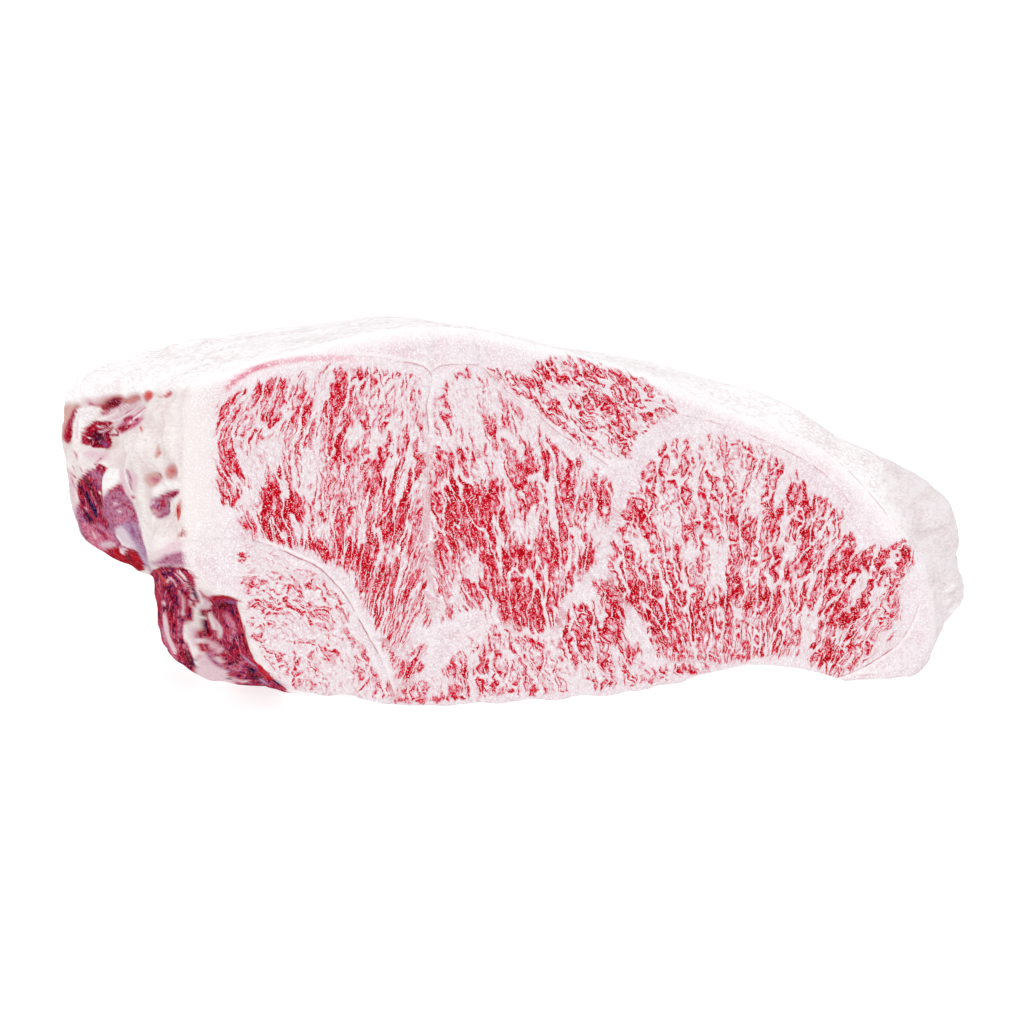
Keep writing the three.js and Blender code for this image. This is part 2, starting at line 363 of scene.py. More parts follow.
# Patches with less lean among the marbling (below zero) or more: the middle, the reach and how much.
PATCHES = [
    ((-100, 87), (5, 9), -1), ((-86, 82), (4, 7), -1), ((-106, 71), (3, 4), -0.8),
    ((-84, 103), (1.5, 8), -0.6), ((-61, 52), (3, 4), -1), ((-72, 94), (1.5, 6), -0.5),
    ((-71, 81), (1.5, 7), -0.5), ((-59, 94), (2, 3), -0.6), ((-106, 102), (2, 5), -0.6),
    ((-93, 92), (4, 3), -0.8), ((-33, 47), (3.5, 4.5), -1), ((-30, 77), (2, 5), -0.7),
    ((-15, 57), (3.5, 3), -0.6), ((-1, 45), (2, 2), -0.8), ((6, 36), (4, 3), -0.9),
    ((49, 48), (3, 3), -0.8), ((50, 31), (1.2, 12), -0.9), ((64, 33), (1, 14), -0.9),
    ((78, 37), (1.2, 9), -0.9), ((98, 32), (3, 2), -0.8), ((83, 21), (2, 4), -0.7),
    ((22, 25), (3.5, 6), -1), ((-2, 103), (4.5, 2.5), -1), ((10, 91), (2.5, 6), -0.9),
    ((94, 16), (1.2, 5), -0.9), ((12, 48), (1.5, 8), -0.9), ((-40, 98), (9, 12), -0.35),
    ((-14, 90), (8, 6), -0.2), ((-98, 68), (7, 10), 0.5), ((-86, 58), (5, 4), 0.45),
    ((-78, 55), (4, 4), 0.4), ((-108, 77), (3, 4), 0.4), ((-114, 87), (1.5, 5), 0.5),
    ((-67, 78), (2, 7), 0.4), ((-75, 67), (2, 8), 0.3), ((-100, 104), (3, 6), 0.35),
    ((-88, 103), (2.5, 7), 0.35), ((-77, 103), (3, 6), 0.3), ((-64, 105), (3.5, 4), 0.25),
    ((-34, 65), (8, 11), 0.4), ((-41, 55), (5, 6), 0.3), ((-27, 48), (2.5, 8), 0.3),
    ((-34, 39), (6, 3), 0.3), ((-15, 36), (5, 8), 0.3), ((-7, 37), (3, 7), 0.3), ((75, 61), (3.5, 6), 0.4),
    ((95, 42), (5, 9), 0.4), ((90, 10), (4, 5), 0.5), ((68, 56), (2.5, 6), 0.35), ((96, 18), (2, 6), 0.3),
    ((116, 42), (3, 3), 0.5), ((-24, 85), (12, 14), -0.3), ((-97, 83), (14, 8), -0.2),
    ((-39, 63), (8, 12), 0.2), ((-55, 64), (6, 10), 0.15), ((-72, 48), (7, 8), 0.3),
    ((3, 54), (14, 13), 0.3), ((15, 29), (38, 10), 0.35), ((96, 31), (9, 14), 0.25),
    ((4, 10), (12, 8), -0.25), ((54, 76), (14, 9), -0.2), ((31, 25), (3, 5), 0.3),
    ((-32, 102), (13, 8), -0.35), ((-56, 98), (4, 6), -0.7), ((-8, 106), (10, 4), 0.35),
    ((13, 95), (7, 6), 0.2), ((-104, 80), (5, 11), -0.4), ((-96, 68), (6, 10), 0.7),
    ((-112, 75), (4, 5), 0.5), ((-80, 90), (5, 8), 0.3), ((-88, 75), (4, 4), -0.4),
    ((-59, 66), (6, 13), 0.35), ((-42, 60), (6, 12), 0.35), ((-31, 78), (6, 6), -0.3),
    ((-29, 56), (6, 12), 0.4), ((-7, 62), (5, 22), 0.3), ((9, 65), (9, 5), 0.35), ((25, 61), (4, 7), 0.45),
    ((46, 74), (10, 8), -0.25), ((81, 62), (4, 5), 0.5), ((-62, 42), (9, 11), 0.35),
    ((-80, 51), (4, 4), 0.5), ((-12, 36), (10, 10), 0.45), ((50, 33), (60, 7), 0.35),
    ((32, 24), (20, 7), 0.3), ((97, 42), (10, 6), 0.3), ((93, 22), (6, 6), 0.3), ((106, 20), (5, 8), -0.35),
    ((-92, 27), (9, 6), -0.5), ((-76, 8), (8, 7), -0.5), ((-57, 10), (5, 6), 0.4), ((1, 9), (10, 5), -0.2),
    ((-99, 94), (8, 4), 0.5), ((-55, 104), (8, 5), -0.4), ((-72, 66), (7, 7), -0.3),
    ((-22, 98), (6, 8), 0.25), ((9, 77), (4, 5), -0.8), ((12, 92), (6, 4), 0.5), ((-96, 79), (3, 5), 0.8),
    ((-112, 80), (3, 5), 0.8), ((-56, 76), (3, 5), 0.6), ((-68, 52), (5, 5), 0.5), ((25, 57), (3, 5), 0.8),
    ((65, 32), (3, 4), 0.6), ((81, 48), (3, 4), 0.6), ((25, 25), (4, 5), 0.7), ((49, 23), (3, 4), 0.6),
    ((9, 34), (4, 4), 0.6), ((-32, 11), (4, 4), 0.7), ((-40, 36), (4, 5), -0.9), ((-32, 45), (4, 4), -0.6),
    ((45, 38), (6, 6), -0.5), ((-64, 101), (4, 5), -0.5), ((-84, 110), (6, 4), -0.5),
    ((-104, 71), (3, 5), -0.5), ((-88, 63), (4, 4), -0.5), ((33, 57), (4, 5), -0.6),
    ((-28, 92), (5, 5), 0.4), ((-92, 90), (6, 6), 0.3), ((65, 74), (4, 4), 0.4),
    ((44, 24), (2.5, 5.5), 0.3), ((53, 27), (2, 5), 0.3), ((12, 36), (2, 3.5), 0.2),
    ((-80, 101), (4, 4), 0.4), ((-64, 100), (4, 4), 0.35), ((-76, 86), (5, 5), 0.4),
    ((-66, 77), (5, 5), 0.6), ((-96, 75), (4, 6), 0.4), ((-74, 65), (6, 6), 0.4), ((-56, 45), (4, 4), 0.5),
    ((-99, 103), (6, 4), -0.45), ((-24, 64), (5, 10), 0.2), ((-18, 50), (5, 5), 0.5),
    ((-24, 40), (4, 6), -0.1), ((7, 57), (6, 7), -0.7), ((1, 50), (4, 4), -0.5), ((13, 93), (7, 6), -0.45),
    ((33, 65), (4, 10), -0.35), ((55, 65), (7, 5), -0.35), ((41, 33), (4, 4), -0.4),
    ((80, 47), (3, 5), 0.6), ((65, 73), (4, 4), -0.4), ((48, 25), (4, 4), -0.4), ((-64, 29), (4, 4), 0.4),
    ((97, 42), (5, 6), -0.2), ((-27, 101), (5, 9), -0.65), ((-18, 67), (5, 5), -0.3),
    ((90, 46), (4, 5), -0.55), ((61, 39), (6, 5), -0.4), ((57, 27), (4, 6), -0.4),
    ((25, 61), (4, 7), -0.55), ((30, 26), (8, 7), -0.35), ((-64, 69), (4, 4), -0.3),
    ((-72, 46), (4, 4), -0.4), ((-80, 78), (4, 4), 0.4), ((-92, 70), (5, 4), 0.4), ((1, 106), (4, 3), 0.5),
    ((-48, 5), (4, 3), -0.5), ((-84, 102), (5, 5), 0.3), ((-23, 75), (4, 5), 0.4), ((-16, 67), (4, 4), 0.4),
    ((-24, 58), (4, 4), 0.35), ((-31, 107), (5, 4), -0.3), ((-24, 99), (4, 4), -0.3),
    ((72, 61), (4, 4), -0.3), ((80, 61), (4, 4), 0.35), ((-54, 3), (4, 1.2), 0.7),
    ((-42, 3), (5, 1.2), 0.6), ((30, 7.5), (4, 1), 0.5), ((40, 7.5), (4, 1), 0.5),
]
DENSITY_LIMITS = (-1.1, 0.5)

# Muscles lie so far apart in the fibres' own measure that no two share a pattern. Rays from two foci turn
# into each other over a few mm, and the tail's fibres wander more towards its end.
FIBRES_APART = 97
RAYS_MEET_OVER = (-9, 7)
TAIL_END = (76, 100)
TAIL_END_CURL = 0.5


def smooth_loop(outline, steps=4):
    points = np.array(outline, dtype=float)
    return curve_points(points, np.arange(len(points) * steps) / steps)


def distance_inside(spots, loop):
    """Distance in mm from spots to a closed loop, above zero inside it."""
    nearest = np.full(len(spots), 1e9)
    inside = np.zeros(len(spots), dtype=bool)
    for start, end in zip(loop, np.roll(loop, -1, axis=0)):
        along = end - start
        towards = spots - start
        t = np.clip(towards @ along / (along @ along), 0, 1)
        gap = towards - t[:, None] * along
        nearest = np.minimum(nearest, np.einsum("ij,ij->i", gap, gap))
        crosses = (start[1] > spots[:, 1]) != (end[1] > spots[:, 1])
        rise = along[1] if along[1] else 1e-9
        inside ^= crosses & (towards[:, 0] < towards[:, 1] * along[0] / rise)
    return np.where(inside, 1, -1) * np.sqrt(nearest)


def fibre_places(muscle, spots):
    """Each spot's place in its muscle in mm: across the fibres and along them."""
    if "rings" in muscle:
        away = spots - np.array(muscle["rings"])
        radius = np.linalg.norm(away, axis=1)
        return radius, np.arctan2(away[:, 1], away[:, 0]) * np.median(radius)
    if len(muscle["rays"]) == 1:
        away = spots - np.array(muscle["rays"][0])
        radius = np.linalg.norm(away, axis=1)
        return np.arctan2(away[:, 0], away[:, 1]) * np.median(radius), radius
    meet = muscle["meet"]
    lanes = []
    for focus in muscle["rays"]:
        reach = (meet - focus[1]) / (spots[:, 1] - focus[1])
        lanes.append(focus[0] + (spots[:, 0] - focus[0]) * reach)
    upper = smooth_step(spots[:, 1] - meet, *RAYS_MEET_OVER)
    return lanes[0] * upper + lanes[1] * (1 - upper), spots[:, 1]


cut = np.flatnonzero(is_front | is_back)
spots = loin[cut]
lean = np.full(len(cut), -99.0)
grain = np.zeros((len(cut), 4))
density = np.zeros(len(cut))
for number, muscle in enumerate(MUSCLES.values()):
    inside = distance_inside(spots, smooth_loop(muscle["outline"]))
    here = inside > lean
    across, along = fibre_places(muscle, spots[here])
    grain[here, 0] = across + FIBRES_APART * number
    grain[here, 1] = along
    grain[here, 2:] = muscle["curl"], muscle["celled"]
    density[here] = muscle["density"]
    lean[here] = inside[here]
for middle_spot, reach, more in PATCHES:
    away = (spots - middle_spot) / reach
    density += more * np.exp(-((away**2).sum(axis=1)) ** 1.5)
density = np.clip(density, *DENSITY_LIMITS)
grain[:, 2] += TAIL_END_CURL * smooth_step(spots[:, 0], *TAIL_END)

# Towards the outline the cut fat takes the shade of the fat outside: widely under the cap and by the chine,
# and in a narrow rim elsewhere, but not along the foot.
RIM_FAT = 0.9
CAP_RIM_FAT = 0.75
CAP_RIM = (0.9, 0.99)
NARROW_RIM = (0.955, 1)
under_cap = smooth_step(spots[:, 1] + np.minimum(spots[:, 0] + 60, 0), 5, 45)
above_foot = smooth_step(spots[:, 1], 5, 15)
by_chine = smooth_step(-spots[:, 0], 108, 126) * smooth_step(spots[:, 1], 50, 66)
rim_fat = CAP_RIM_FAT * under_cap * smooth_step(ring[cut], *CAP_RIM)
rim_fat = np.maximum(rim_fat, above_foot * smooth_step(ring[cut], *NARROW_RIM))
rim_fat = RIM_FAT * np.maximum(rim_fat, by_chine)

# ---------------------------------------------------------------------------------------------------
# The seams: sheets of connective tissue between the muscles. The cut shows each as a fine line, a little
# brownish or red, in a shallow groove beside a ridge. The ridge's white is a painted highlight. Seams in
# one group are far apart, so that they share an attribute. Each has its points and how strong it is.
SEAM_REACH = (1.3, 2.4)
SEAM_FADE = 0.08
FAR_BESIDE = 3.0  # stands for any distance at which no seam shows
GROOVE = {"depth": 0.35, "width": 0.9}
RIDGE = {"height": 0.6, "beside": 1.8, "width": 1.2}
LEAN_SWELL = 0.5
SEAMS = (
    (
        ([(-108, 60), (-98, 56), (-90, 52), (-84, 49), (-79, 44), (-75, 39), (-71, 32), (-68, 26), (-64, 19),
          (-61, 11), (-58, 2)], 1.0),
        ([(-30, 112), (-24, 106), (-17, 99.5), (-10, 94), (-3, 88), (3, 84), (9, 80), (16, 75)], 0.45),
        ([(-76, 117), (-66, 116.2), (-57, 114.4), (-50, 112.8), (-46.5, 110), (-46.5, 106), (-48, 100),
          (-47.5, 90), (-48, 75)], 0.8),
        ([(60, 95), (70, 91), (81, 84), (91, 76), (102, 65), (110, 55), (115, 48)], 0.45),
        ([(121, 26), (119, 20), (114.5, 13), (108, 8), (100, 4), (90, 1)], 1.0),
    ),
    (
        ([(-46.5, 110), (-44, 112), (-39, 112.5), (-30, 112)], 0.5),
        ([(36, 93), (45, 91), (54, 88), (66, 83), (78, 77), (88, 70), (95, 62), (100, 55)], 0.5),
        ([(-35, 24), (-28, 27), (-20, 25.5), (-13, 22)], 0.3),
        ([(99, 2), (108, 2), (113, 2.5)], 0.7),
    ),
)


def smooth_line(points, steps=6):
    points = np.array(points, dtype=float)
    doubled = np.vstack([2 * points[0] - points[1], points, 2 * points[-1] - points[-2]])
    return curve_points(doubled, np.arange(steps, len(points) * steps + 1) / steps)


def distance_beside(spots, line):
    """Distance in mm from spots to an open line, above zero on its left, and their place along it, 0 to 1."""
    nearest = np.full(len(spots), 1e9)
    side = np.ones(len(spots))
    place = np.zeros(len(spots))
    for number, (start, end) in enumerate(zip(line[:-1], line[1:])):
        along = end - start
        towards = spots - start
        t = np.clip(towards @ along / (along @ along), 0, 1)
        gap = towards - t[:, None] * along
        distance = np.einsum("ij,ij->i", gap, gap)
        nearer = distance < nearest
        nearest[nearer] = distance[nearer]
        turn = along[0] * towards[:, 1] - along[1] * towards[:, 0]
        side[nearer] = np.where(turn[nearer] > 0, 1, -1)
        place[nearer] = (number + t[nearer]) / (len(line) - 1)
    return side * np.sqrt(nearest), place


seams = np.zeros((len(cut), 4))
groove = np.zeros(len(cut))
for group, lines in enumerate(SEAMS):
    nearest = np.full(len(cut), FAR_BESIDE)
    strength = np.zeros(len(cut))
    for points, weight in lines:
        beside, place = distance_beside(spots, smooth_line(points))
        near = np.abs(beside) < np.abs(nearest)
        ends = smooth_step(place, 0, SEAM_FADE) * (1 - smooth_step(place, 1 - SEAM_FADE, 1))
        nearest[near] = beside[near]
        strength[near] = (weight * ends * (1 - smooth_step(np.abs(beside), *SEAM_REACH)))[near]
    seams[:, 2 * group] = nearest
    seams[:, 2 * group + 1] = strength
    ridge = RIDGE["height"] * bell(nearest - RIDGE["beside"], RIDGE["width"])
    groove += strength * (bell(nearest, GROOVE["width"]) - ridge)

# A thin sheet of pink muscle in the cap, over the long eye. It gets paler along its way and fades out.
CAP_SHEET = [(-115, 104.5), (-111, 109.5), (-104, 113.5), (-97, 115.3), (-89, 116.2), (-80, 116.2),
             (-70, 115.5), (-58, 113.5)]
CAP_SHEET_EDGE = (0.5, 1.7)
beside, place = distance_beside(spots, smooth_line(CAP_SHEET))
paler = 0.25 * smooth_step(place, 0.3, 0.5)
faded = 0.75 * smooth_step(place, 0.75, 1)
cap_sheet = smooth_step(place, 0, 0.12) * (1 - paler - faded)
cap_sheet *= 1 - smooth_step(np.abs(beside), *CAP_SHEET_EDGE)
rim_fat = np.maximum(rim_fat, cap_sheet)

towards_front = np.where(is_front[cut], -1, 1)
not_rim = 1 - ring[cut] ** 12
swelling = LEAN_SWELL * smooth_step(lean, -3, 5)
y[cut] += towards_front * not_rim * (swelling - GROOVE["depth"] * groove)

# ---------------------------------------------------------------------------------------------------
# The chine side: torn and cut flesh where the backbone came off. Lumps of fat and sheets of white fascia
# stand over hollows, with dark striped muscle, bluish silverskin and fresh blood in them. A shade has how
# fibrous its stuff is after its colour, from 0 for plain fat to 1 for bare muscle.
CHINE_SHADES = {
    "fat": (238, 231, 229, 0.0),
    "white": (242, 239, 238, 0.0),
    "bloom": (224, 200, 206, 0.3),
    # The next two are painted shade: the dimness in pits and in the crevice under the cap's ledge.
    "pit_shade": (208, 166, 158, 0.2),
    "pit_shade_pink": (206, 142, 136, 0.3),
    "coral": (208, 84, 78, 0.6),
    "pink": (204, 128, 148, 0.8),
    "rose": (176, 44, 70, 1.0),
    "crimson": (166, 12, 42, 1.0),
    "scarlet": (188, 8, 30, 0.7),
    "blood": (160, 8, 28, 0.7),
    "maroon": (112, 8, 30, 1.0),
    "wine": (88, 6, 34, 0.8),
    "navy": (18, 6, 66, 0.8),
    "mauve": (176, 116, 142, 0.8),
    "silver": (212, 196, 206, 0.5),
    "lilac": (170, 138, 168, 0.6),
    "plum": (140, 72, 120, 0.6),
}
# Marks are laid over each other as on a drawing of the chine side, seen from 15 degrees left of the front and
# 11 degrees above, in mm right of and above its middle. Each has its shade, how soft its edge is, how far its
# surface stands out, and its outline or, where the points have a third number, a streak with that half-width.
CHINE_MARKS = [
    ("pit_shade", 2.5, -1, [(-151.5, 35), (-149.5, 36.5), (-148, 36), (-146, 36.5), (-145.5, 35.5),
     (-146.5, 33.5), (-147, 31.5), (-147.5, 28.5), (-148, 26), (-148.5, 24), (-149.5, 23), (-151, 24),
     (-153, 26), (-153.5, 29.5), (-153.5, 32), (-152.5, 33.5)]),
    ("rose", 1.5, -0.5, [(-146, 35.5, 0.4), (-147, 33.5, 0.8), (-147.5, 31, 1.4), (-148.5, 28.5, 1.8),
     (-149.5, 25, 1.4)]),
    ("crimson", 1, -0.5, [(-146.5, 33.5, 0.2), (-147, 31, 0.6), (-148, 28.5, 1), (-149, 26, 1.2),
     (-149.5, 24, 0.8)]),
    ("bloom", 2, -1.5, [(-144.5, 36), (-142, 35.5), (-138, 35), (-136.5, 35), (-134.5, 35.5), (-132, 37),
     (-130.5, 38), (-132, 39.5), (-134, 39.5), (-136.5, 39.5), (-139.5, 38.5), (-142, 38), (-144, 38.5)]),
    ("pit_shade", 1.5, -1.5, [(-138.5, 35), (-136.5, 35), (-135, 35.5), (-133.5, 36.5), (-132, 37.5),
     (-130.5, 38), (-131, 39), (-132.5, 39.5), (-134.5, 39), (-136.5, 38.5), (-138.5, 37.5), (-139.5, 36)]),
    ("crimson", 1.2, -1, [(-138, 35.5, 0.4), (-136.5, 36, 0.8), (-135.5, 36.5, 1.2), (-133.5, 37.5, 1.2),
     (-132, 38, 0.8), (-130.5, 38, 0.2)]),
    ("maroon", 0.9, -0.5, [(-137, 35.5, 0.2), (-135.5, 36.5, 0.6), (-134, 37, 0.6), (-132.5, 38, 0.4)]),
    ("rose", 1, 0, [(-142, 36.5, 0.4), (-140.5, 36, 0.2), (-138.5, 36, 0.2)]),
    ("pit_shade", 1.5, -1.5, [(-130, 37.5), (-129, 39), (-127.5, 39.5), (-125.5, 39.5), (-125, 38.5),
     (-126, 37.5), (-127, 36.5), (-128, 36.5), (-129, 37)]),
    ("rose", 1, -0.5, [(-129.5, 37.5, 0.4), (-128, 37.5, 0.8), (-126, 38.5, 0.6)]),
    ("pit_shade", 0.8, -1.5, [(-124, 39.5), (-122.5, 41), (-120.5, 40), (-121, 39), (-122, 37.5),
     (-122.5, 36.5), (-123.5, 37.5), (-124, 38.5)]),
    ("coral", 0.9, -0.5, [(-123.5, 39, 0.4), (-122, 39.5, 1.2), (-122.5, 38, 0.8)]),
    ("coral", 0.6, -1.5, [(-117, 39), (-115.5, 40.5), (-114.5, 40.5), (-114.5, 39.5), (-116, 38.5),
     (-117, 38.5), (-119, 39), (-118, 39)]),
    ("scarlet", 0.5, 0, [(-116.5, 39, 0.2), (-115.5, 39.5, 0.4), (-115, 40, 0.2)]),
    ("bloom", 1.2, -0.3, [(-139.5, 31.5), (-138.5, 33), (-136.5, 34.5), (-134, 35.5), (-131, 36.5),
     (-128.5, 36), (-126, 37), (-124, 36), (-123, 34.5), (-124, 32), (-124.5, 30.5), (-126, 29),
     (-128, 27.5), (-130, 26.5), (-132, 26), (-132.5, 27.5), (-134, 29.5), (-135.5, 30.5), (-137.5, 31)]),
    ("pink", 1.2, -0.4, [(-133, 28), (-132, 29.5), (-130, 31.5), (-128, 32.5), (-126, 32), (-124, 31.5),
     (-125, 30), (-127, 28.5), (-129, 27.5), (-131, 26.5), (-132, 26.5)]),
    ("crimson", 0.5, -0.4, [(-132.5, 28, 0.4), (-131, 28, 1), (-129, 29, 0.8), (-128.5, 29.5, 0.2)]),
    ("rose", 0.8, 0, [(-130, 31, 0.8), (-128, 31.5, 0.8), (-126, 31, 0.4)]),
    ("rose", 0.7, 0, [(-138, 33, 0.4), (-136.5, 33.5, 0.4), (-135.5, 34, 0.2)]),
    ("pink", 0.4, 0, [(-136.5, 32.5, 0.2), (-133.5, 33.5, 0.2), (-130.5, 35, 0.2), (-128, 36.5, 0.2)]),
    ("pink", 0.4, 0, [(-134, 31, 0.2), (-131, 32, 0.2), (-128.5, 34, 0.2), (-125, 35.5, 0.2)]),
    ("pink", 0.4, 0, [(-132.5, 35, 0.2), (-130.5, 36, 0.2)]),
    ("pink", 0.4, 0, [(-127.5, 31.5, 0.2), (-125.5, 33.5, 0.2), (-123.5, 35, 0.2)]),
    ("fat", 0.4, 0.4, [(-140.5, 31.5, 0.4), (-137.5, 31.5, 0.4), (-134.5, 32.5, 0.4), (-132, 34.5, 0.2),
     (-129, 36, 0.2)]),
    ("white", 0.4, 0.3, [(-135.5, 30, 0.2), (-132, 31.5, 0.2), (-130, 32.5, 0.2), (-127, 34.5, 0.2),
     (-124, 36.5, 0.2)]),
    ("white", 0.3, 0.3, [(-129, 29.5, 0.2), (-127, 31.5, 0.2), (-125, 33, 0.2), (-123.5, 34.5, 0.2)]),
    ("pit_shade_pink", 1.2, 0, [(-143, 34.5, 0.6), (-140.5, 34.5, 0.8), (-138.5, 34.5, 0.6)]),
    ("pit_shade_pink", 1, 0, [(-130, 37, 0.6), (-127.5, 37.5, 0.8), (-125.5, 38, 0.6)]),
    ("crimson", 0.9, 0, [(-138.5, 34.5, 0.4), (-136, 35, 0.8), (-133.5, 36, 1), (-131.5, 37, 0.6)]),
    ("maroon", 0.8, 0, [(-136, 35, 0.3), (-134, 36, 0.6), (-132.5, 36.5, 0.4)]),
    ("crimson", 0.4, -1.4, [(-145, 24), (-144.5, 27), (-144, 29.5), (-142.5, 28.5), (-142, 29.5),
     (-140.5, 30.5), (-138, 30.5), (-135.5, 30.5), (-134, 30), (-134, 28.5), (-135, 26.5), (-135, 25.5),
     (-134.5, 24), (-134.5, 22.5), (-135.5, 21), (-136.5, 21), (-138, 21.5), (-140.5, 21.5), (-142, 22.5),
     (-143, 22.5), (-144.5, 23)]),
    ("rose", 0.4, 0, [(-134.5, 26, 0.4), (-132.5, 26, 0.4), (-133.5, 28, 0.2)]),
    ("maroon", 1, -0.4, [(-141.5, 24.5, 1.2), (-139.5, 25.5, 2), (-138, 25, 1.6), (-139, 23.5, 1.2)]),
    ("wine", 1, -0.4, [(-140.5, 25, 0.6), (-139.5, 25.5, 1.2), (-138, 25, 0.8)]),
    ("navy", 1.2, 0, [(-139.5, 25, 0.2), (-139, 25, 0.4)]),
    ("plum", 0.6, 0, [(-137.5, 23.5, 0.8), (-136.5, 22.5, 0.8)]),
    ("rose", 0.4, 0, [(-144, 25, 0.2), (-143.5, 24, 0.4), (-143, 23, 0.2)]),
    ("white", 0.3, 0.3, [(-144.5, 30, 0.2), (-144, 27.5, 0.2), (-144, 26, 0.4), (-143.5, 25.5, 0.2)]),
    ("white", 0.3, 0.3, [(-142, 29.5, 0.2), (-141.5, 28, 0.2)]),
    ("white", 0.3, 0.3, [(-139.5, 29, 0.2), (-138.5, 28.5, 0.2), (-137, 29, 0.2)]),
    ("white", 0.3, 0.3, [(-139, 27, 0.2), (-136.5, 27.5, 0.2), (-134.5, 29, 0.2), (-134, 29.5, 0.2)]),
    ("white", 0.3, 0.3, [(-142.5, 25, 0.2), (-142, 25, 0.2)]),
    ("white", 0.3, 0.3, [(-132, 26, 0.2), (-131.5, 26, 0.2)]),
    ("white", 0.4, 0.8, [(-146, 34.5), (-145.5, 35), (-141.5, 35.5), (-139.5, 35), (-137.5, 35),
     (-138, 34.5), (-140, 33), (-140.5, 32), (-141, 31), (-142, 30.5), (-143, 30.5), (-144, 29.5),
     (-144.5, 28.5), (-144.5, 27.5), (-145, 25.5), (-145.5, 24.5), (-146.5, 24), (-148, 24), (-148, 25),
     (-148, 27.5), (-147.5, 30), (-147, 32)]),
    ("bloom", 0.4, 0, [(-146, 30.5, 0.2), (-146.5, 27.5, 0.2), (-146.5, 24.5, 0.2)]),
    ("bloom", 2, 0, [(-144.5, 20), (-141.5, 21), (-138, 20.5), (-135.5, 20), (-135.5, 18), (-138, 17),
     (-141, 17.5), (-143.5, 18.5)]),
    ("rose", 0.5, 0, [(-138, 18, 0.2), (-139.5, 17, 0.2), (-140.5, 16, 0.2)]),
    ("pit_shade", 1, -0.8, [(-119, 23), (-118.5, 21.5), (-118, 20), (-119, 18.5), (-120, 18), (-120, 20),
     (-119.5, 22)]),
    ("coral", 0.7, 0, [(-119, 19.5, 0.2), (-118.5, 20, 0.4)]),
    ("pink", 0.6, 0, [(-147.5, 20.5, 0.2), (-146.5, 19, 0.4), (-146.5, 18, 0.2)]),
    ("coral", 1, 0, [(-125, 28.5, 0.4), (-124.5, 27.5, 0.4)]),
    ("bloom", 1, 0, [(-151.5, 16), (-152, 13), (-151.5, 10), (-151, 5.5), (-150.5, 1.5), (-149.5, -2.5),
     (-147.5, -7), (-145, -11), (-142.5, -14.5), (-139.5, -15.5), (-140.5, -12.5), (-142, -10),
     (-143.5, -6), (-145, -3), (-145.5, 0.5), (-146.5, 3), (-147, 6.5), (-147, 10), (-147.5, 13)]),
    ("rose", 0.4, -0.3, [(-148, 15.5, 0.2), (-147, 13, 0.2), (-147, 11.5, 0.2)]),
    ("pink", 0.4, -0.3, [(-148, 13, 0.2), (-148, 11, 0.2), (-147.5, 8.5, 0.2)]),
    ("pink", 0.4, 0, [(-145.5, 15, 0.2), (-144.5, 13.5, 0.2)]),
    ("rose", 0.5, 0, [(-142.5, 13, 0.4), (-140.5, 14, 0.4), (-139.5, 14.5, 0.2)]),
    ("mauve", 1.6, -0.4, [(-147, 0), (-145, 3), (-141, 0), (-137, 3), (-134, 6), (-130, 4), (-127, 0),
     (-125, -6), (-123, -13), (-122, -18), (-125, -17), (-130, -13), (-135, -12), (-141, -14), (-145, -9)]),
    ("rose", 0.6, -1.4, [(-146, 10.5), (-144.5, 12), (-142.5, 14), (-140.5, 14.5), (-139.5, 16), (-138, 16),
     (-136.5, 15), (-136, 14), (-136.5, 13), (-137.5, 12), (-138, 10.5), (-138, 7.5), (-137.5, 4.5),
     (-137.5, 1.5), (-137.5, -0.5), (-136.5, -2.5), (-135.5, -4), (-135.5, -5.5), (-136.5, -6),
     (-138, -4.5), (-139.5, -4), (-140.5, -5), (-142, -4.5), (-143.5, -3), (-144.5, -1), (-145.5, 1.5),
     (-145.5, 3), (-146, 5.5), (-146.5, 7.5)]),
    ("mauve", 1.2, 0, [(-141.5, 13, 0.8), (-139.5, 12.5, 1.2), (-138.5, 11, 0.8), (-139, 9, 0.6)]),
    ("maroon", 0.5, -0.6, [(-144.5, 12, 0.4), (-142.5, 10, 0.6), (-141.5, 7.5, 0.6), (-140.5, 5, 0.4),
     (-139, 2.5, 0.4), (-138.5, 0.5, 0.2)]),
    ("wine", 0.5, -0.4, [(-144, 11, 0.2), (-142.5, 9, 0.4), (-141, 7, 0.2), (-140, 4.5, 0.2)]),
    ("maroon", 0.5, -0.6, [(-146, 10, 0.2), (-145, 7.5, 0.6), (-144, 4.5, 0.6), (-144, 2.5, 0.4)]),
    ("maroon", 0.5, -0.6, [(-144, 0.5, 0.4), (-143, -1.5, 0.8), (-142, -2.5, 0.6), (-141, -4, 0.4)]),
    ("maroon", 0.6, -0.4, [(-139.5, 6.5, 0.4), (-138.5, 4.5, 0.4), (-138.5, 2.5, 0.4)]),
    ("navy", 0.4, -0.4, [(-143.5, 7, 0.4), (-142.5, 4.5, 0.6), (-141.5, 2.5, 0.6), (-140.5, 1, 0.8),
     (-140, -1, 0.6), (-139.5, -2, 0.2)]),
    ("navy", 0.4, 0, [(-144.5, 4, 0.2), (-144, 3, 0.4), (-144, 2.5, 0.2)]),
    ("navy", 0.4, 0, [(-143.5, 0, 0.4), (-142.5, -1.5, 0.4), (-142, -3, 0.4), (-141.5, -3.5, 0.2)]),
    ("navy", 0.4, 0, [(-138, -3, 0.2), (-137.5, -3, 0.2)]),
    ("navy", 0.4, 0, [(-139, 0.5, 0.2), (-139, 0, 0.2)]),
    ("crimson", 0.4, 0.3, [(-145.5, 6.5, 0.2), (-143.5, 4, 0.4), (-142, 1, 0.4), (-141, -1.5, 0.4),
     (-139.5, -3.5, 0.2)]),
    ("crimson", 0.4, 0.3, [(-144, 9.5, 0.2), (-142.5, 7.5, 0.2), (-141.5, 4.5, 0.2), (-139.5, 1.5, 0.2),
     (-138.5, -1, 0.2), (-138, -3, 0.2)]),
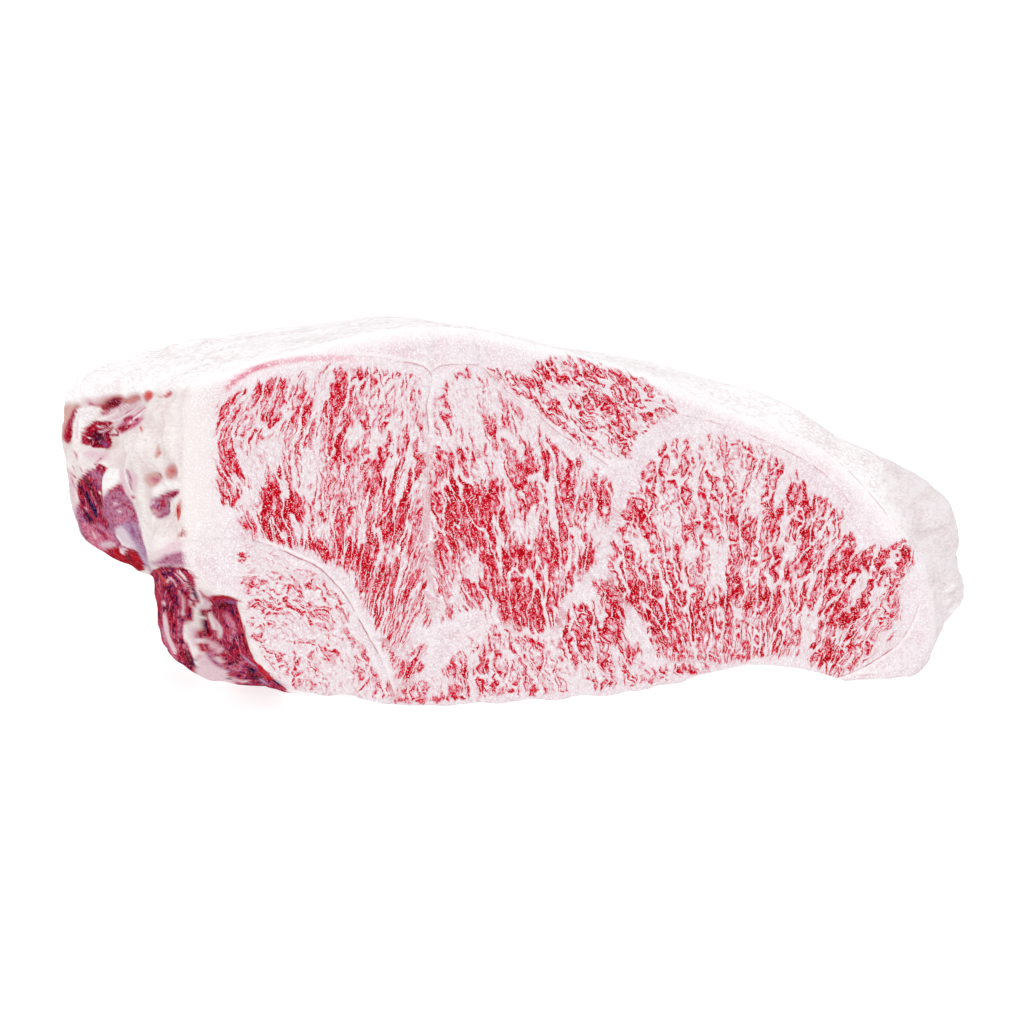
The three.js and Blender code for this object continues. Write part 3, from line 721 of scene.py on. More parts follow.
    ("rose", 0.4, 0.3, [(-145.5, 2, 0.2), (-144.5, 1, 0.2)]),
    ("pink", 0.3, 0.4, [(-141.5, 6, 0.2), (-140.5, 4, 0.2), (-140, 2.5, 0.2)]),
    ("bloom", 0.3, 0.4, [(-143.5, 1.5, 0.2), (-143, 1, 0.2)]),
    ("wine", 0.5, -0.4, [(-136, -4, 0.2), (-136, -5, 0.4)]),
    ("navy", 0.3, 0, [(-136, -4.5, 0.2), (-136, -5, 0.2)]),
    ("crimson", 0.5, -0.4, [(-139, 15.5, 0.4), (-137.5, 14.5, 0.6), (-137, 13.5, 0.4)]),
    ("white", 0.3, 0.3, [(-138.5, 15, 0.2), (-138, 14.5, 0.2)]),
    ("white", 0.3, 0.3, [(-139, 6.5, 0.2), (-138.5, 6.5, 0.2)]),
    ("pink", 1.2, -0.3, [(-145, -4), (-142, -4.5), (-139.5, -4.5), (-137, -6.5), (-134.5, -7.5),
     (-133.5, -9), (-132.5, -11), (-134, -12), (-136.5, -13), (-138.5, -14), (-140.5, -13.5), (-142, -11),
     (-143.5, -8)]),
    ("silver", 1.5, 0, [(-137.5, -11, 0.8), (-135.5, -11, 0.8), (-133.5, -11, 0.4)]),
    ("rose", 0.8, 0, [(-140.5, -5.5, 0.4), (-138, -7, 0.6), (-136.5, -9, 0.4)]),
    ("bloom", 0.3, 0, [(-141, -7, 0.2), (-140, -9, 0.2)]),
    ("maroon", 0.4, 0, [(-144, -7.5, 0.2), (-142.5, -10.5, 0.2), (-141, -13, 0.2)]),
    ("white", 0.5, 0.8, [(-136.5, 14), (-135.5, 14.5), (-132.5, 14.5), (-132, 13), (-133, 10), (-134, 8.5),
     (-135.5, 7.5), (-136.5, 7), (-137.5, 7.5), (-138, 10), (-137.5, 12)]),
    ("bloom", 1, 0, [(-132, 14), (-130, 14), (-126.5, 13), (-126, 10), (-127, 7), (-127.5, 4.5),
     (-128.5, 4.5), (-130, 6.5), (-131, 9), (-132, 11.5)]),
    ("mauve", 1, -0.4, [(-129.5, 14, 0.4), (-128.5, 11.5, 0.4), (-128.5, 9, 0.4), (-128, 7.5, 0.2)]),
    ("white", 0.4, 0.4, [(-130.5, 14, 0.2), (-130, 11.5, 0.2), (-129, 8.5, 0.2), (-128, 6.5, 0.2)]),
    ("mauve", 1, -0.8, [(-136.5, 6.5), (-134.5, 7.5), (-132.5, 8.5), (-132, 10), (-131, 9), (-130, 6.5),
     (-128.5, 4.5), (-127.5, 3.5), (-127, 1.5), (-126, -0.5), (-125.5, -3), (-126, -4.5), (-127, -4.5),
     (-129, -3.5), (-131, -4.5), (-132, -3.5), (-133.5, -2.5), (-134, 0), (-135.5, 1.5), (-136.5, 1.5),
     (-137.5, 2.5), (-137.5, 4.5)]),
    ("rose", 0.8, 0, [(-135.5, 7, 0.4), (-133.5, 8, 0.6), (-132, 8.5, 0.6), (-130.5, 6, 0.4)]),
    ("crimson", 0.4, 0, [(-131, 3.5, 0.2), (-130.5, 2.5, 0.4), (-129.5, 2, 0.4)]),
    ("crimson", 0.4, 0, [(-131.5, 1, 0.2), (-131, 0.5, 0.2)]),
    ("rose", 0.5, 0, [(-135, 5, 0.2), (-134, 4.5, 0.2)]),
    ("pink", 0.8, 0, [(-133, -2.5, 0.6), (-131, -3, 0.6), (-130, -1, 0.4)]),
    ("rose", 0.6, 0, [(-128.5, 1.5, 0.4), (-127, -0.5, 0.4), (-127, -2, 0.4)]),
    ("bloom", 0.5, 0, [(-134, 2.5, 0.4), (-133, 2.5, 0.4)]),
    ("bloom", 0.5, 0, [(-132, 0, 0.4), (-131.5, 0.5, 0.4)]),
    ("rose", 0.5, 0, [(-127.5, 5, 0.4), (-127, 4.5, 0.4)]),
    ("white", 0.3, 0.3, [(-128.5, 4, 0.2), (-127.5, 3.5, 0.2)]),
    ("mauve", 1.4, 0, [(-137.5, 0.5), (-135.5, 1), (-134, -1), (-133.5, -4.5), (-133.5, -7.5),
     (-132.5, -10.5), (-134, -10), (-134.5, -7), (-135.5, -6), (-135.5, -4), (-136.5, -2.5)]),
    ("mauve", 0.5, 0, [(-137.5, 0, 0.2), (-136.5, -1.5, 0.2), (-135.5, -3.5, 0.2)]),
    ("lilac", 0.8, -0.6, [(-132, -4.5), (-128.5, -3.5), (-126, -4.5), (-125, -7.5), (-124, -11),
     (-123.5, -13), (-122.5, -16), (-121.5, -19), (-122, -20), (-123, -18), (-124.5, -15.5), (-126, -14),
     (-127, -12), (-128.5, -9), (-130.5, -7)]),
    ("plum", 0.6, 0, [(-128.5, -4.5, 0.2), (-127.5, -6.5, 0.6), (-127, -8, 0.6), (-126, -8.5, 0.2)]),
    ("mauve", 0.6, 0, [(-126, -5.5, 0.2), (-125, -9, 0.4), (-124.5, -12, 0.2)]),
    ("silver", 1.2, 0.3, [(-133.5, -5.5), (-131, -5), (-129, -7.5), (-128, -9.5), (-127, -11), (-126, -13),
     (-124, -15.5), (-122, -19), (-123, -18), (-126, -14), (-127.5, -12.5), (-129, -12), (-131, -10),
     (-133, -8.5)]),
    ("white", 0.4, 0.4, [(-133, -8, 0.2), (-131, -10.5, 0.4), (-128.5, -12, 0.2)]),
    ("rose", 0.4, 0, [(-133, -11, 0.4), (-132, -11, 0.4)]),
    ("blood", 0.3, 0, [(-142, -14), (-140.5, -13.5), (-138.5, -14), (-136.5, -13), (-134, -12),
     (-132, -12.5), (-132, -13.5), (-131, -14), (-130, -13.5), (-130, -12.5), (-128, -12.5), (-126.5, -13),
     (-125, -15), (-124, -16.5), (-123.5, -19), (-125, -20), (-127, -19.5), (-129, -19), (-132, -19),
     (-134.5, -18.5), (-137.5, -17.5), (-140, -16)]),
    ("rose", 0.6, 0, [(-137, -14, 0.4), (-135.5, -14, 0.4), (-133.5, -14, 0.2)]),
    ("scarlet", 0.4, 0, [(-133.5, -13.5, 0.4), (-132, -15, 0.4), (-130.5, -15.5, 0.4)]),
    ("rose", 0.4, 0.2, [(-130, -13.5, 0.2), (-129, -13.5, 0.4)]),
    ("maroon", 0.4, 0, [(-129.5, -14.5, 0.4), (-129, -15.5, 0.6), (-128.5, -16, 0.4)]),
    ("scarlet", 0.5, 0, [(-127, -15, 0.8), (-125.5, -16.5, 0.6)]),
    ("bloom", 0.3, 0.3, [(-132, -12.5, 0.2), (-131, -13, 0.6), (-130, -12.5, 0.4)]),
    ("plum", 0.4, 0, [(-126, -13.5, 0.2), (-125, -15, 0.2), (-124, -17, 0.2), (-123, -18, 0.2)]),
    ("fat", 0.5, 0.6, [(-125, 11.5), (-124, 12), (-123.5, 7), (-123.5, 1.5), (-123, -1.5), (-122, -5),
     (-122, -10), (-122, -14.5), (-121.5, -18), (-122.5, -16.5), (-123, -13), (-124, -10), (-124.5, -6.5),
     (-125.5, -3), (-126, 0.5), (-125, 4.5)]),
    ("pit_shade", 1, -1.5, [(-124, 11), (-122.5, 13), (-121, 13), (-119, 13.5), (-118, 12.5), (-118, 11),
     (-119, 9.5), (-120.5, 8.5), (-122, 8.5), (-123, 10)]),
    ("pink", 1.2, -0.3, [(-121, 11, 0.8), (-120, 10.5, 1), (-119, 11.5, 0.6)]),
    ("crimson", 0.4, 0, [(-118.5, 13, 0.2), (-118, 12, 0.2)]),
    ("pit_shade_pink", 1.3, -1.5, [(-116.5, 14), (-115.5, 15.5), (-114, 16), (-113, 15), (-112.5, 13), (-113.5, 12),
     (-115, 11), (-116.5, 12)]),
    ("coral", 1.4, 0, [(-115, 13.5, 0.4), (-114, 13.5, 0.6)]),
    ("white", 0.6, 1.2, [(-120.5, 7), (-119, 9), (-116.5, 10), (-113.5, 10.5), (-112.5, 9.5), (-113, 8),
     (-116, 7.5), (-117.5, 6.5), (-119, 5.5), (-120.5, 4.5)]),
    ("mauve", 1, -1.6, [(-122, 2.5), (-121, 4.5), (-119, 5), (-118, 5.5), (-115, 7), (-112, 7.5),
     (-112, 6.5), (-113, 5), (-114.5, 4.5), (-115.5, 2.5), (-115, 0), (-116, -1.5), (-118, -2),
     (-120, -1.5), (-121.5, 0.5)]),
    ("rose", 0.8, -0.4, [(-119, 1.5, 0.6), (-117.5, 2.5, 1), (-117, 4, 0.8)]),
    ("maroon", 0.5, -0.5, [(-115.5, 3.5, 0.2), (-115, 1.5, 0.4), (-115, -0.5, 0.2)]),
    ("rose", 0.5, 0, [(-117.5, 5.5, 0.4), (-115, 6, 0.6), (-113, 6.5, 0.6)]),
    ("crimson", 0.4, 0, [(-114, 5.5, 0.4), (-112.5, 6.5, 0.4)]),
    ("bloom", 0.8, 0, [(-121.5, 2.5, 0.4), (-120.5, 3.5, 0.4)]),
    ("pit_shade", 1, 0, [(-120.5, 0.5, 0.6), (-119, -0.5, 0.4)]),
    ("fat", 0.4, 0.6, [(-115, 2.5), (-114, 3.5), (-113.5, 4), (-113, 1.5), (-113.5, -1), (-114.5, -1.5),
     (-115, 0)]),
    ("coral", 0.5, -0.8, [(-112.5, 2.5), (-112, 3.5), (-111.5, 1), (-111.5, -1), (-112, -2.5),
     (-112.5, -2.5), (-113, 0), (-113, 1.5)]),
    ("crimson", 0.4, 0, [(-112.5, 1, 0.2), (-112.5, 0, 0.2)]),
    ("pit_shade", 1.2, 0, [(-111.5, 4, 0.4), (-111.5, 1.5, 0.4)]),
    ("crimson", 0.5, -0.8, [(-110.5, -5, 0.2), (-111, -6.5, 0.4), (-111.5, -8, 0.4)]),
    ("pit_shade", 1, -0.4, [(-112, -7.5, 0.6), (-112.5, -8.5, 0.4)]),
    ("mauve", 2.5, -0.5, [(-121, -17), (-119, -16), (-117, -14.5), (-113.5, -13.5), (-110.5, -13),
     (-109.5, -14), (-109, -16), (-110, -18), (-113.5, -18), (-117.5, -18), (-120, -18)]),
    ("bloom", 2.5, 0, [(-120.5, -14.5, 0.6), (-117, -13, 1), (-113, -11, 1.4), (-110.5, -11, 1)]),
    ("rose", 0.4, 0, [(-110, -12.5, 0.2), (-109.5, -14.5, 0.2), (-109, -17, 0.2)]),
    ("rose", 0.5, -0.6, [(-121, -19.5), (-119, -19), (-117.5, -18), (-115.5, -18.5), (-112.5, -18.5),
     (-109.5, -19), (-107.5, -20.5), (-107, -22), (-106.5, -24), (-106, -26.5), (-105, -29), (-105, -30.5),
     (-106.5, -32), (-107, -34), (-107.5, -36.5), (-108.5, -38), (-110, -38.5), (-110.5, -41.5),
     (-110, -43.5), (-108, -47.5), (-106.5, -51), (-106, -55), (-111.5, -56.5), (-115.5, -51.5),
     (-119, -47), (-121, -42.5), (-122, -39.5), (-122, -36), (-122, -32.5), (-121, -28), (-121, -24),
     (-122, -22)]),
    ("maroon", 0.6, -0.8, [(-119, -19.5, 0.2), (-116, -18.5, 0.2), (-112.5, -18.5, 0.2),
     (-110, -19.5, 0.4)]),
    ("coral", 0.5, 0, [(-119, -20, 0.4), (-117.5, -22.5, 0.4), (-116, -23, 0.4), (-117, -24, 0.4)]),
    ("navy", 0.4, -0.5, [(-118, -20.5, 0.2), (-117, -21, 0.4), (-115.5, -20.5, 0.6), (-114, -19.5, 0.4)]),
    ("navy", 0.4, 0, [(-117, -21.5, 0.2), (-116.5, -21, 0.2)]),
    ("navy", 0.4, 0, [(-114, -21.5, 0.2), (-113, -22.5, 0.4), (-112, -24, 0.2)]),
    ("navy", 0.4, 0, [(-113, -19.5, 0.2), (-112, -20, 0.2)]),
    ("bloom", 0.4, 0.4, [(-116, -23.5, 0.4), (-115, -22.5, 0.4), (-114, -23, 0.2), (-113, -25, 0.2)]),
    ("bloom", 0.3, 0.4, [(-113.5, -20.5, 0.2), (-112, -22, 0.2), (-110.5, -24, 0.2), (-109.5, -26.5, 0.2),
     (-109, -30, 0.2), (-109, -33.5, 0.2), (-108.5, -36, 0.2)]),
    ("bloom", 0.3, 0.4, [(-112.5, -20, 0.2), (-110.5, -22, 0.2), (-109.5, -24, 0.2), (-108, -26, 0.2),
     (-107.5, -28, 0.2), (-107.5, -30.5, 0.2)]),
    ("white", 0.3, 0.4, [(-112, -19.5, 0.2), (-110.5, -21.5, 0.2), (-109, -23.5, 0.2)]),
    ("bloom", 0.4, 0.4, [(-112, -26.5, 0.2), (-111, -29.5, 0.4), (-111, -33.5, 0.4), (-110, -36.5, 0.4),
     (-110, -39.5, 0.4)]),
    ("crimson", 0.4, -0.4, [(-110.5, -25.5, 0.2), (-110, -28, 0.4), (-110, -30.5, 0.2)]),
    ("crimson", 0.4, -0.4, [(-108.5, -28, 0.2), (-108.5, -31.5, 0.2), (-108, -34.5, 0.2)]),
    ("crimson", 0.4, -0.4, [(-108, -30.5, 0.2), (-107.5, -32.5, 0.2), (-107.5, -35.5, 0.2),
     (-107.5, -37.5, 0.2)]),
    ("bloom", 0.3, 0.4, [(-107.5, -26.5, 0.2), (-108, -29.5, 0.2), (-108, -31.5, 0.2)]),
    ("navy", 0.4, -0.5, [(-110, -23, 0.2), (-110, -23.5, 0.2)]),
    ("navy", 0.4, -0.5, [(-109, -23.5, 0.2), (-108, -25, 0.4), (-107.5, -26, 0.4)]),
    ("navy", 0.4, -0.5, [(-107, -26, 0.2), (-106.5, -27.5, 0.4), (-106.5, -29, 0.4), (-106.5, -30, 0.2)]),
    ("maroon", 0.4, -0.4, [(-109.5, -22, 0.2), (-108.5, -24, 0.2), (-107.5, -25.5, 0.2)]),
    ("maroon", 0.5, -0.5, [(-117, -25, 0.4), (-115.5, -25.5, 0.4), (-114.5, -27, 0.4)]),
    ("crimson", 0.6, -0.4, [(-117.5, -24.5, 0.6), (-116, -26, 0.6), (-114.5, -28.5, 0.8),
     (-113.5, -30.5, 0.6)]),
    ("navy", 0.3, 0, [(-115.5, -25.5, 0.4), (-114.5, -25, 0.4)]),
    ("navy", 0.3, 0, [(-117, -25.5, 0.2), (-116, -26, 0.2)]),
    ("navy", 0.3, 0, [(-115, -27.5, 0.2), (-114.5, -28, 0.2)]),
    ("navy", 0.4, -0.3, [(-113, -28, 0.4), (-113, -29.5, 0.4), (-113, -31, 0.4)]),
    ("navy", 0.3, 0, [(-114.5, -31.5, 0.2), (-114, -31.5, 0.2)]),
    ("navy", 0.4, 0, [(-113.5, -33, 0.4), (-113, -33.5, 0.4), (-112, -33, 0.2)]),
    ("navy", 0.4, 0, [(-112.5, -34.5, 0.4), (-112, -35.5, 0.4), (-111.5, -36.5, 0.2)]),
    ("bloom", 0.4, 0.2, [(-118.5, -27.5, 0.2), (-117, -29, 0.2), (-115.5, -29.5, 0.2)]),
    ("bloom", 0.4, 0.2, [(-118.5, -30.5, 0.2), (-117, -31, 0.4), (-117, -30.5, 0.2)]),
    ("crimson", 0.6, -0.4, [(-118.5, -31.5, 0.4), (-118.5, -33.5, 0.4), (-118.5, -36, 0.4)]),
    ("maroon", 0.6, -0.4, [(-117, -32, 0.6), (-115.5, -32.5, 0.8), (-114.5, -34.5, 0.8), (-114, -37.5, 0.8),
     (-114.5, -39.5, 0.6)]),
    ("crimson", 0.6, 0, [(-115, -33.5, 0.4), (-114, -36, 0.6), (-114, -38.5, 0.4)]),
    ("navy", 0.3, 0, [(-119, -34.5, 0.2), (-118.5, -36, 0.2)]),
    ("navy", 0.4, 0, [(-118.5, -40, 0.4), (-118.5, -41.5, 0.4)]),
    ("navy", 0.4, 0, [(-113.5, -40, 0.4), (-114, -41, 0.2), (-114, -42, 0.2)]),
    ("mauve", 0.8, 0.3, [(-112, -36, 0.4), (-111.5, -38.5, 0.6), (-112, -41.5, 0.6)]),
    ("bloom", 0.6, 0.3, [(-117, -34.5, 0.6), (-116.5, -38, 0.8), (-116, -41.5, 0.8), (-114.5, -45, 0.8),
     (-113.5, -47, 0.8)]),
    ("pink", 0.8, 0, [(-118, -38.5, 0.4), (-117, -42, 0.6), (-115.5, -45.5, 0.4), (-113.5, -49, 0.4)]),
    ("maroon", 0.6, -0.5, [(-111, -43.5, 0.4), (-110, -47, 0.8), (-108.5, -50, 1), (-108, -52, 0.8)]),
    ("wine", 0.5, -0.4, [(-110, -46, 0.2), (-109.5, -49, 0.6), (-108, -51, 0.8)]),
    ("navy", 0.4, 0, [(-107.5, -49, 0.2), (-107, -50.5, 0.4), (-106.5, -52, 0.4)]),
    ("crimson", 0.6, 0, [(-113, -43, 0.6), (-112, -46, 0.6), (-110.5, -48.5, 0.4)]),
    ("fat", 0.5, 0.9, [(-106.5, -31.5), (-105.5, -30.5), (-105, -32), (-105.5, -34.5), (-105.5, -38),
     (-105.5, -41.5), (-105.5, -45), (-105.5, -47.5), (-104.5, -49.5), (-103.5, -52), (-106.5, -52),
     (-107, -49), (-108.5, -46), (-110, -43.5), (-110.5, -40.5), (-110, -38), (-108.5, -37.5),
     (-107.5, -36), (-107, -33.5)]),
    ("bloom", 1, 0.2, [(-108, -38, 0.4), (-107.5, -41.5, 0.6), (-106.5, -45, 0.6)]),
    ("bloom", 0.8, 0, [(-106.5, -23), (-105.5, -26), (-103.5, -27.5), (-101, -28), (-100, -29),
     (-101.5, -32), (-103.5, -33), (-105, -33.5), (-105, -30.5), (-106, -27.5)]),
    ("rose", 1, -0.2, [(-105, -26.5, 0.2), (-103.5, -28.5, 0.4), (-101.5, -29.5, 0.6),
     (-100.5, -30.5, 0.4)]),
    ("white", 0.4, 0.3, [(-106, -25.5, 0.2), (-105, -28.5, 0.2), (-104.5, -30.5, 0.4), (-104, -32.5, 0.4)]),
    ("rose", 0.5, -0.2, [(-101.5, -28.5), (-99, -28), (-96.5, -28), (-94.5, -28.5), (-92, -29.5),
     (-92.5, -31), (-91.5, -34.5), (-90.5, -38), (-89.5, -43), (-88, -47), (-86.5, -49.5), (-84, -52.5),
     (-80, -55), (-76.5, -58), (-76.5, -62.5), (-86.5, -63), (-93, -61.5), (-100, -59), (-105.5, -56),
     (-106, -52), (-105.5, -49), (-105.5, -45), (-105, -38), (-105, -34.5), (-103.5, -33), (-101, -31.5)]),
    ("blood", 0.5, 0, [(-100.5, -29.5, 0.4), (-98.5, -28.5, 0.6), (-95.5, -28.5, 0.6), (-93, -29.5, 0.6),
     (-92.5, -30, 0.2)]),
    ("maroon", 0.8, -0.3, [(-99.5, -31.5, 0.6), (-97.5, -31.5, 1), (-95.5, -31, 0.8), (-93, -31.5, 0.4)]),
    ("plum", 0.8, 0, [(-96, -30, 0.4), (-94, -30.5, 0.6), (-93, -31, 0.4)]),
    ("bloom", 1, 0.2, [(-101.5, -34.5, 0.6), (-100, -37.5, 1.2), (-98.5, -39.5, 1.2), (-98.5, -42, 0.8)]),
    ("fat", 0.5, 0.5, [(-102, -34.5, 0.4), (-101.5, -36, 0.6), (-100.5, -37.5, 0.6), (-100, -39, 0.4)]),
    ("crimson", 0.4, -0.4, [(-105, -34.5), (-104, -33), (-102, -33), (-101.5, -34), (-103.5, -35.5),
     (-102.5, -37.5), (-103, -38.5), (-102, -39.5), (-100.5, -40.5), (-101, -41.5), (-102.5, -42.5),
     (-104, -41), (-104.5, -39.5), (-105.5, -37.5)]),
    ("maroon", 0.5, -0.3, [(-103.5, -34.5, 0.4), (-103.5, -37.5, 0.6), (-102.5, -40.5, 0.6)]),
    ("fat", 0.3, 0.3, [(-103.5, -36, 0.2), (-102.5, -35, 0.2), (-101, -34.5, 0.2)]),
    ("fat", 0.3, 0.3, [(-105.5, -41.5, 0.2), (-105, -43.5, 0.2), (-104.5, -45, 0.2)]),
    ("scarlet", 0.3, 0, [(-104.5, -45.5, 0.2), (-104, -46.5, 0.4), (-104.5, -47, 0.2)]),
    ("scarlet", 0.3, 0, [(-104.5, -43.5, 0.2), (-105, -45, 0.2)]),
    ("bloom", 1, 0.2, [(-102.5, -43.5, 1), (-100, -45, 1.2), (-98, -46.5, 1)]),
    ("pink", 0.8, 0, [(-100.5, -43.5, 0.6), (-99.5, -46, 0.8), (-100, -47.5, 0.6)]),
    ("bloom", 1, 0.2, [(-104, -48, 1), (-101.5, -49.5, 1.4), (-98, -50, 1.2)]),
    ("pink", 0.8, 0, [(-96.5, -34.5, 0.8), (-94.5, -37.5, 1.2), (-93.5, -40, 0.8), (-94.5, -42.5, 1)]),
    ("navy", 0.4, -0.4, [(-94.5, -32.5, 0.4), (-94, -34, 0.4), (-93.5, -35, 0.2)]),
    ("navy", 0.4, -0.3, [(-93.5, -39, 0.2), (-93, -40, 0.2)]),
    ("wine", 0.4, -0.2, [(-95.5, -38.5, 0.4), (-94.5, -38.5, 0.2)]),
    ("wine", 0.4, -0.2, [(-95.5, -42, 0.2), (-94.5, -41.5, 0.2), (-93.5, -41, 0.2)]),
    ("navy", 0.4, 0, [(-93.5, -42.5, 0.4), (-93, -43, 0.4)]),
    ("maroon", 0.5, -0.3, [(-94, -43.5, 0.4), (-92.5, -42.5, 0.6), (-91.5, -41.5, 0.4)]),
    ("maroon", 0.5, -0.3, [(-95, -45, 0.4), (-93.5, -45.5, 0.6), (-91.5, -45, 0.4)]),
    ("maroon", 0.5, -0.3, [(-95.5, -46.5, 0.4), (-94.5, -47.5, 0.4)]),
    ("crimson", 0.5, 0, [(-91.5, -37.5, 0.4), (-90.5, -40.5, 0.4), (-90, -44, 0.4), (-89, -47, 0.4)]),
    ("crimson", 0.5, 0, [(-93, -32.5, 0.4), (-92, -35.5, 0.4), (-91, -38, 0.4)]),
    ("maroon", 0.4, -0.3, [(-90, -43.5, 0.2), (-89.5, -45.5, 0.4), (-89, -47, 0.2)]),
    ("blood", 0.4, 0, [(-90, -38, 0.2), (-89.5, -42.5, 0.2), (-88.5, -46, 0.2), (-87, -49, 0.4)]),
    ("bloom", 1, 0.2, [(-105, -49), (-102.5, -49.5), (-100, -51.5), (-97, -53.5), (-94.5, -56), (-93, -58),
     (-94, -61), (-98, -59.5), (-102, -57.5), (-105.5, -55.5), (-106.5, -53)]),
    ("bloom", 1, 0.2, [(-104.5, -49, 1), (-102, -50.5, 1.2), (-98.5, -52, 1), (-96.5, -54, 0.6)]),
    ("mauve", 1, 0, [(-102.5, -48, 0.6), (-100, -50, 0.8), (-98, -52, 0.6)]),
    ("mauve", 0.5, 0, [(-91.5, -48, 0.4), (-89.5, -49.5, 0.4), (-88, -51, 0.4)]),
    ("lilac", 0.5, 0.2, [(-90, -49, 0.2), (-88, -50.5, 0.4), (-86, -52, 0.2)]),
    ("plum", 0.5, 0, [(-96, -52, 0.2), (-95, -53, 0.4), (-94, -54, 0.2)]),
    ("plum", 0.4, 0, [(-95, -54, 0.2), (-94.5, -54.5, 0.2)]),
    ("maroon", 0.5, -0.3, [(-94, -50.5, 0.4), (-93, -51, 0.4), (-92, -50, 0.6)]),
    ("maroon", 0.5, -0.3, [(-93, -49, 0.4), (-92, -48, 0.6), (-91, -49, 0.4)]),
    ("crimson", 0.5, 0, [(-96, -49, 0.4), (-94, -47.5, 0.4), (-92, -46.5, 0.4)]),
    ("pink", 0.8, 0, [(-94.5, -52, 0.8), (-92, -53, 0.8), (-91, -51, 0.6)]),
    ("rose", 0.6, 0, [(-93, -55, 0.4), (-91, -55, 0.4), (-90, -56, 0.4)]),
    ("bloom", 1, 0, [(-94, -56, 0.4), (-91.5, -57, 0.4), (-89, -57, 0.4)]),
    ("navy", 0.5, -0.3, [(-88.5, -52, 0.4), (-87, -53.5, 0.8), (-86, -54, 0.4)]),
    ("maroon", 0.6, -0.3, [(-89, -51.5, 0.4), (-88, -55, 0.8), (-86, -55.5, 0.8), (-84, -56, 0.6)]),
    ("blood", 0.5, 0, [(-85.5, -54, 0.6), (-84, -55, 0.6), (-82, -56, 0.4)]),
    ("scarlet", 0.5, 0, [(-88, -49.5, 0.2), (-86, -51, 0.4), (-84.5, -52.5, 0.8), (-83, -55, 0.6),
     (-81, -56, 0.4)]),
    ("lilac", 0.5, 0, [(-84.5, -56.5, 0.4), (-83, -57.5, 0.4), (-82, -58, 0.2)]),
    ("plum", 0.5, 0, [(-86, -51.5, 0.2), (-85, -54, 0.2), (-83, -55.5, 0.2)]),
    ("navy", 0.4, -0.3, [(-88, -56, 0.2), (-86, -57, 0.4), (-84, -58, 0.4)]),
    ("navy", 0.4, 0, [(-81, -58, 0.2), (-80.5, -58, 0.2)]),
    ("navy", 0.4, -0.3, [(-80.5, -56.5, 0.2), (-79, -57.5, 0.4), (-78, -58, 0.2)]),
    ("blood", 0.4, 0, [(-80, -56, 0.2), (-78.5, -57, 0.4), (-77, -58, 0.2)]),
    ("navy", 0.4, 0, [(-95.5, -56, 0.2), (-95, -56.5, 0.2)]),
]
CHINE_SIGHT = {"turn": math.radians(-15), "tilt": math.radians(11), "distance": 1400, "middle": (-5.5, 0, 53)}
# Drawn lines tremble: the size of each wave and how far it goes, in mm. Without a seed the waves would fall
# in other places each time.
TREMBLE = ((2.2, 0.15), (7, 0.25))
TREMBLE_SEED = 1
noise.seed_set(TREMBLE_SEED)


def on_drawing(points):
    """Places of points on the drawing of the chine side, in mm right of its middle and above it."""
    turn, tilt = CHINE_SIGHT["turn"], CHINE_SIGHT["tilt"]
    towards = np.array([math.sin(turn) * math.cos(tilt), -math.cos(turn) * math.cos(tilt), math.sin(tilt)])
    right = np.array([math.cos(turn), math.sin(turn), 0])
    away = points - np.array(CHINE_SIGHT["middle"])
    nearer = CHINE_SIGHT["distance"] / (CHINE_SIGHT["distance"] - away @ towards)
    return np.stack([away @ right * nearer, away @ np.cross(towards, right) * nearer], axis=1)


def depth_in_mark(spots, points):
    """Distance in mm from spots to the edge of a mark, above zero inside it."""
    points = np.array(points, dtype=float)
    if points.shape[1] == 2:
        return distance_inside(spots, curve_points(points, np.arange(len(points) * 3) / 3))
    deepest = np.full(len(spots), -99.0)
    line = smooth_line(points, 3)
    for start, end in zip(line[:-1], line[1:]):
        along = end[:2] - start[:2]
        towards = spots - start[:2]
        t = np.clip(towards @ along / max(along @ along, 1e-9), 0, 1)
        gap = np.linalg.norm(towards - t[:, None] * along, axis=1)
        deepest = np.maximum(deepest, start[2] + (end[2] - start[2]) * t - gap)
    return deepest


def marks_at(chine_points):
    """Each mark that is near some points: its number, which points those are and how deep inside they lie."""
    drawn = on_drawing(chine_points)
    for i, point in enumerate(chine_points):
        spot = Vector(point)
        drawn[i] += sum(np.array(noise.noise_vector(spot / size))[:2] * far for size, far in TREMBLE)
    for number, (_, soft, _, points) in enumerate(CHINE_MARKS):
        reach = max([soft] + [point[2] for point in points if len(point) > 2]) + 1
        low = np.min(points, axis=0)[:2] - reach
        high = np.max(points, axis=0)[:2] + reach
        close = np.flatnonzero(((drawn > low) & (drawn < high)).all(axis=1))
        if len(close):
            yield number, close, depth_in_mark(drawn[close], points)


# The marks stand out of the flank or lie in it, with a slope across their edges. On the underside they reach
# as far as CHINE_END.
MARK_RISE = 0.7
MARK_SLOPE = 1.6
CHINE_END = -55
on_chine = np.flatnonzero(is_flank & (x < CHINE_END) & (depth < DEPTH - 0.5))
rise = np.zeros(len(x))
for number, close, inside in marks_at(np.stack([x, y, z], axis=1)[on_chine]):
    rise[on_chine[close]] += MARK_RISE * CHINE_MARKS[number][2] * smooth_step(inside, -MARK_SLOPE, MARK_SLOPE)


def shade(red, green, blue):
    """A colour given as it looks on a screen, from 0 to 255, as the linear one that nodes use."""
    linear = [((c / 255 + 0.055) / 1.055) ** 2.4 if c > 10 else c / 3294.6 for c in (red, green, blue)]
    return (*linear, 1)


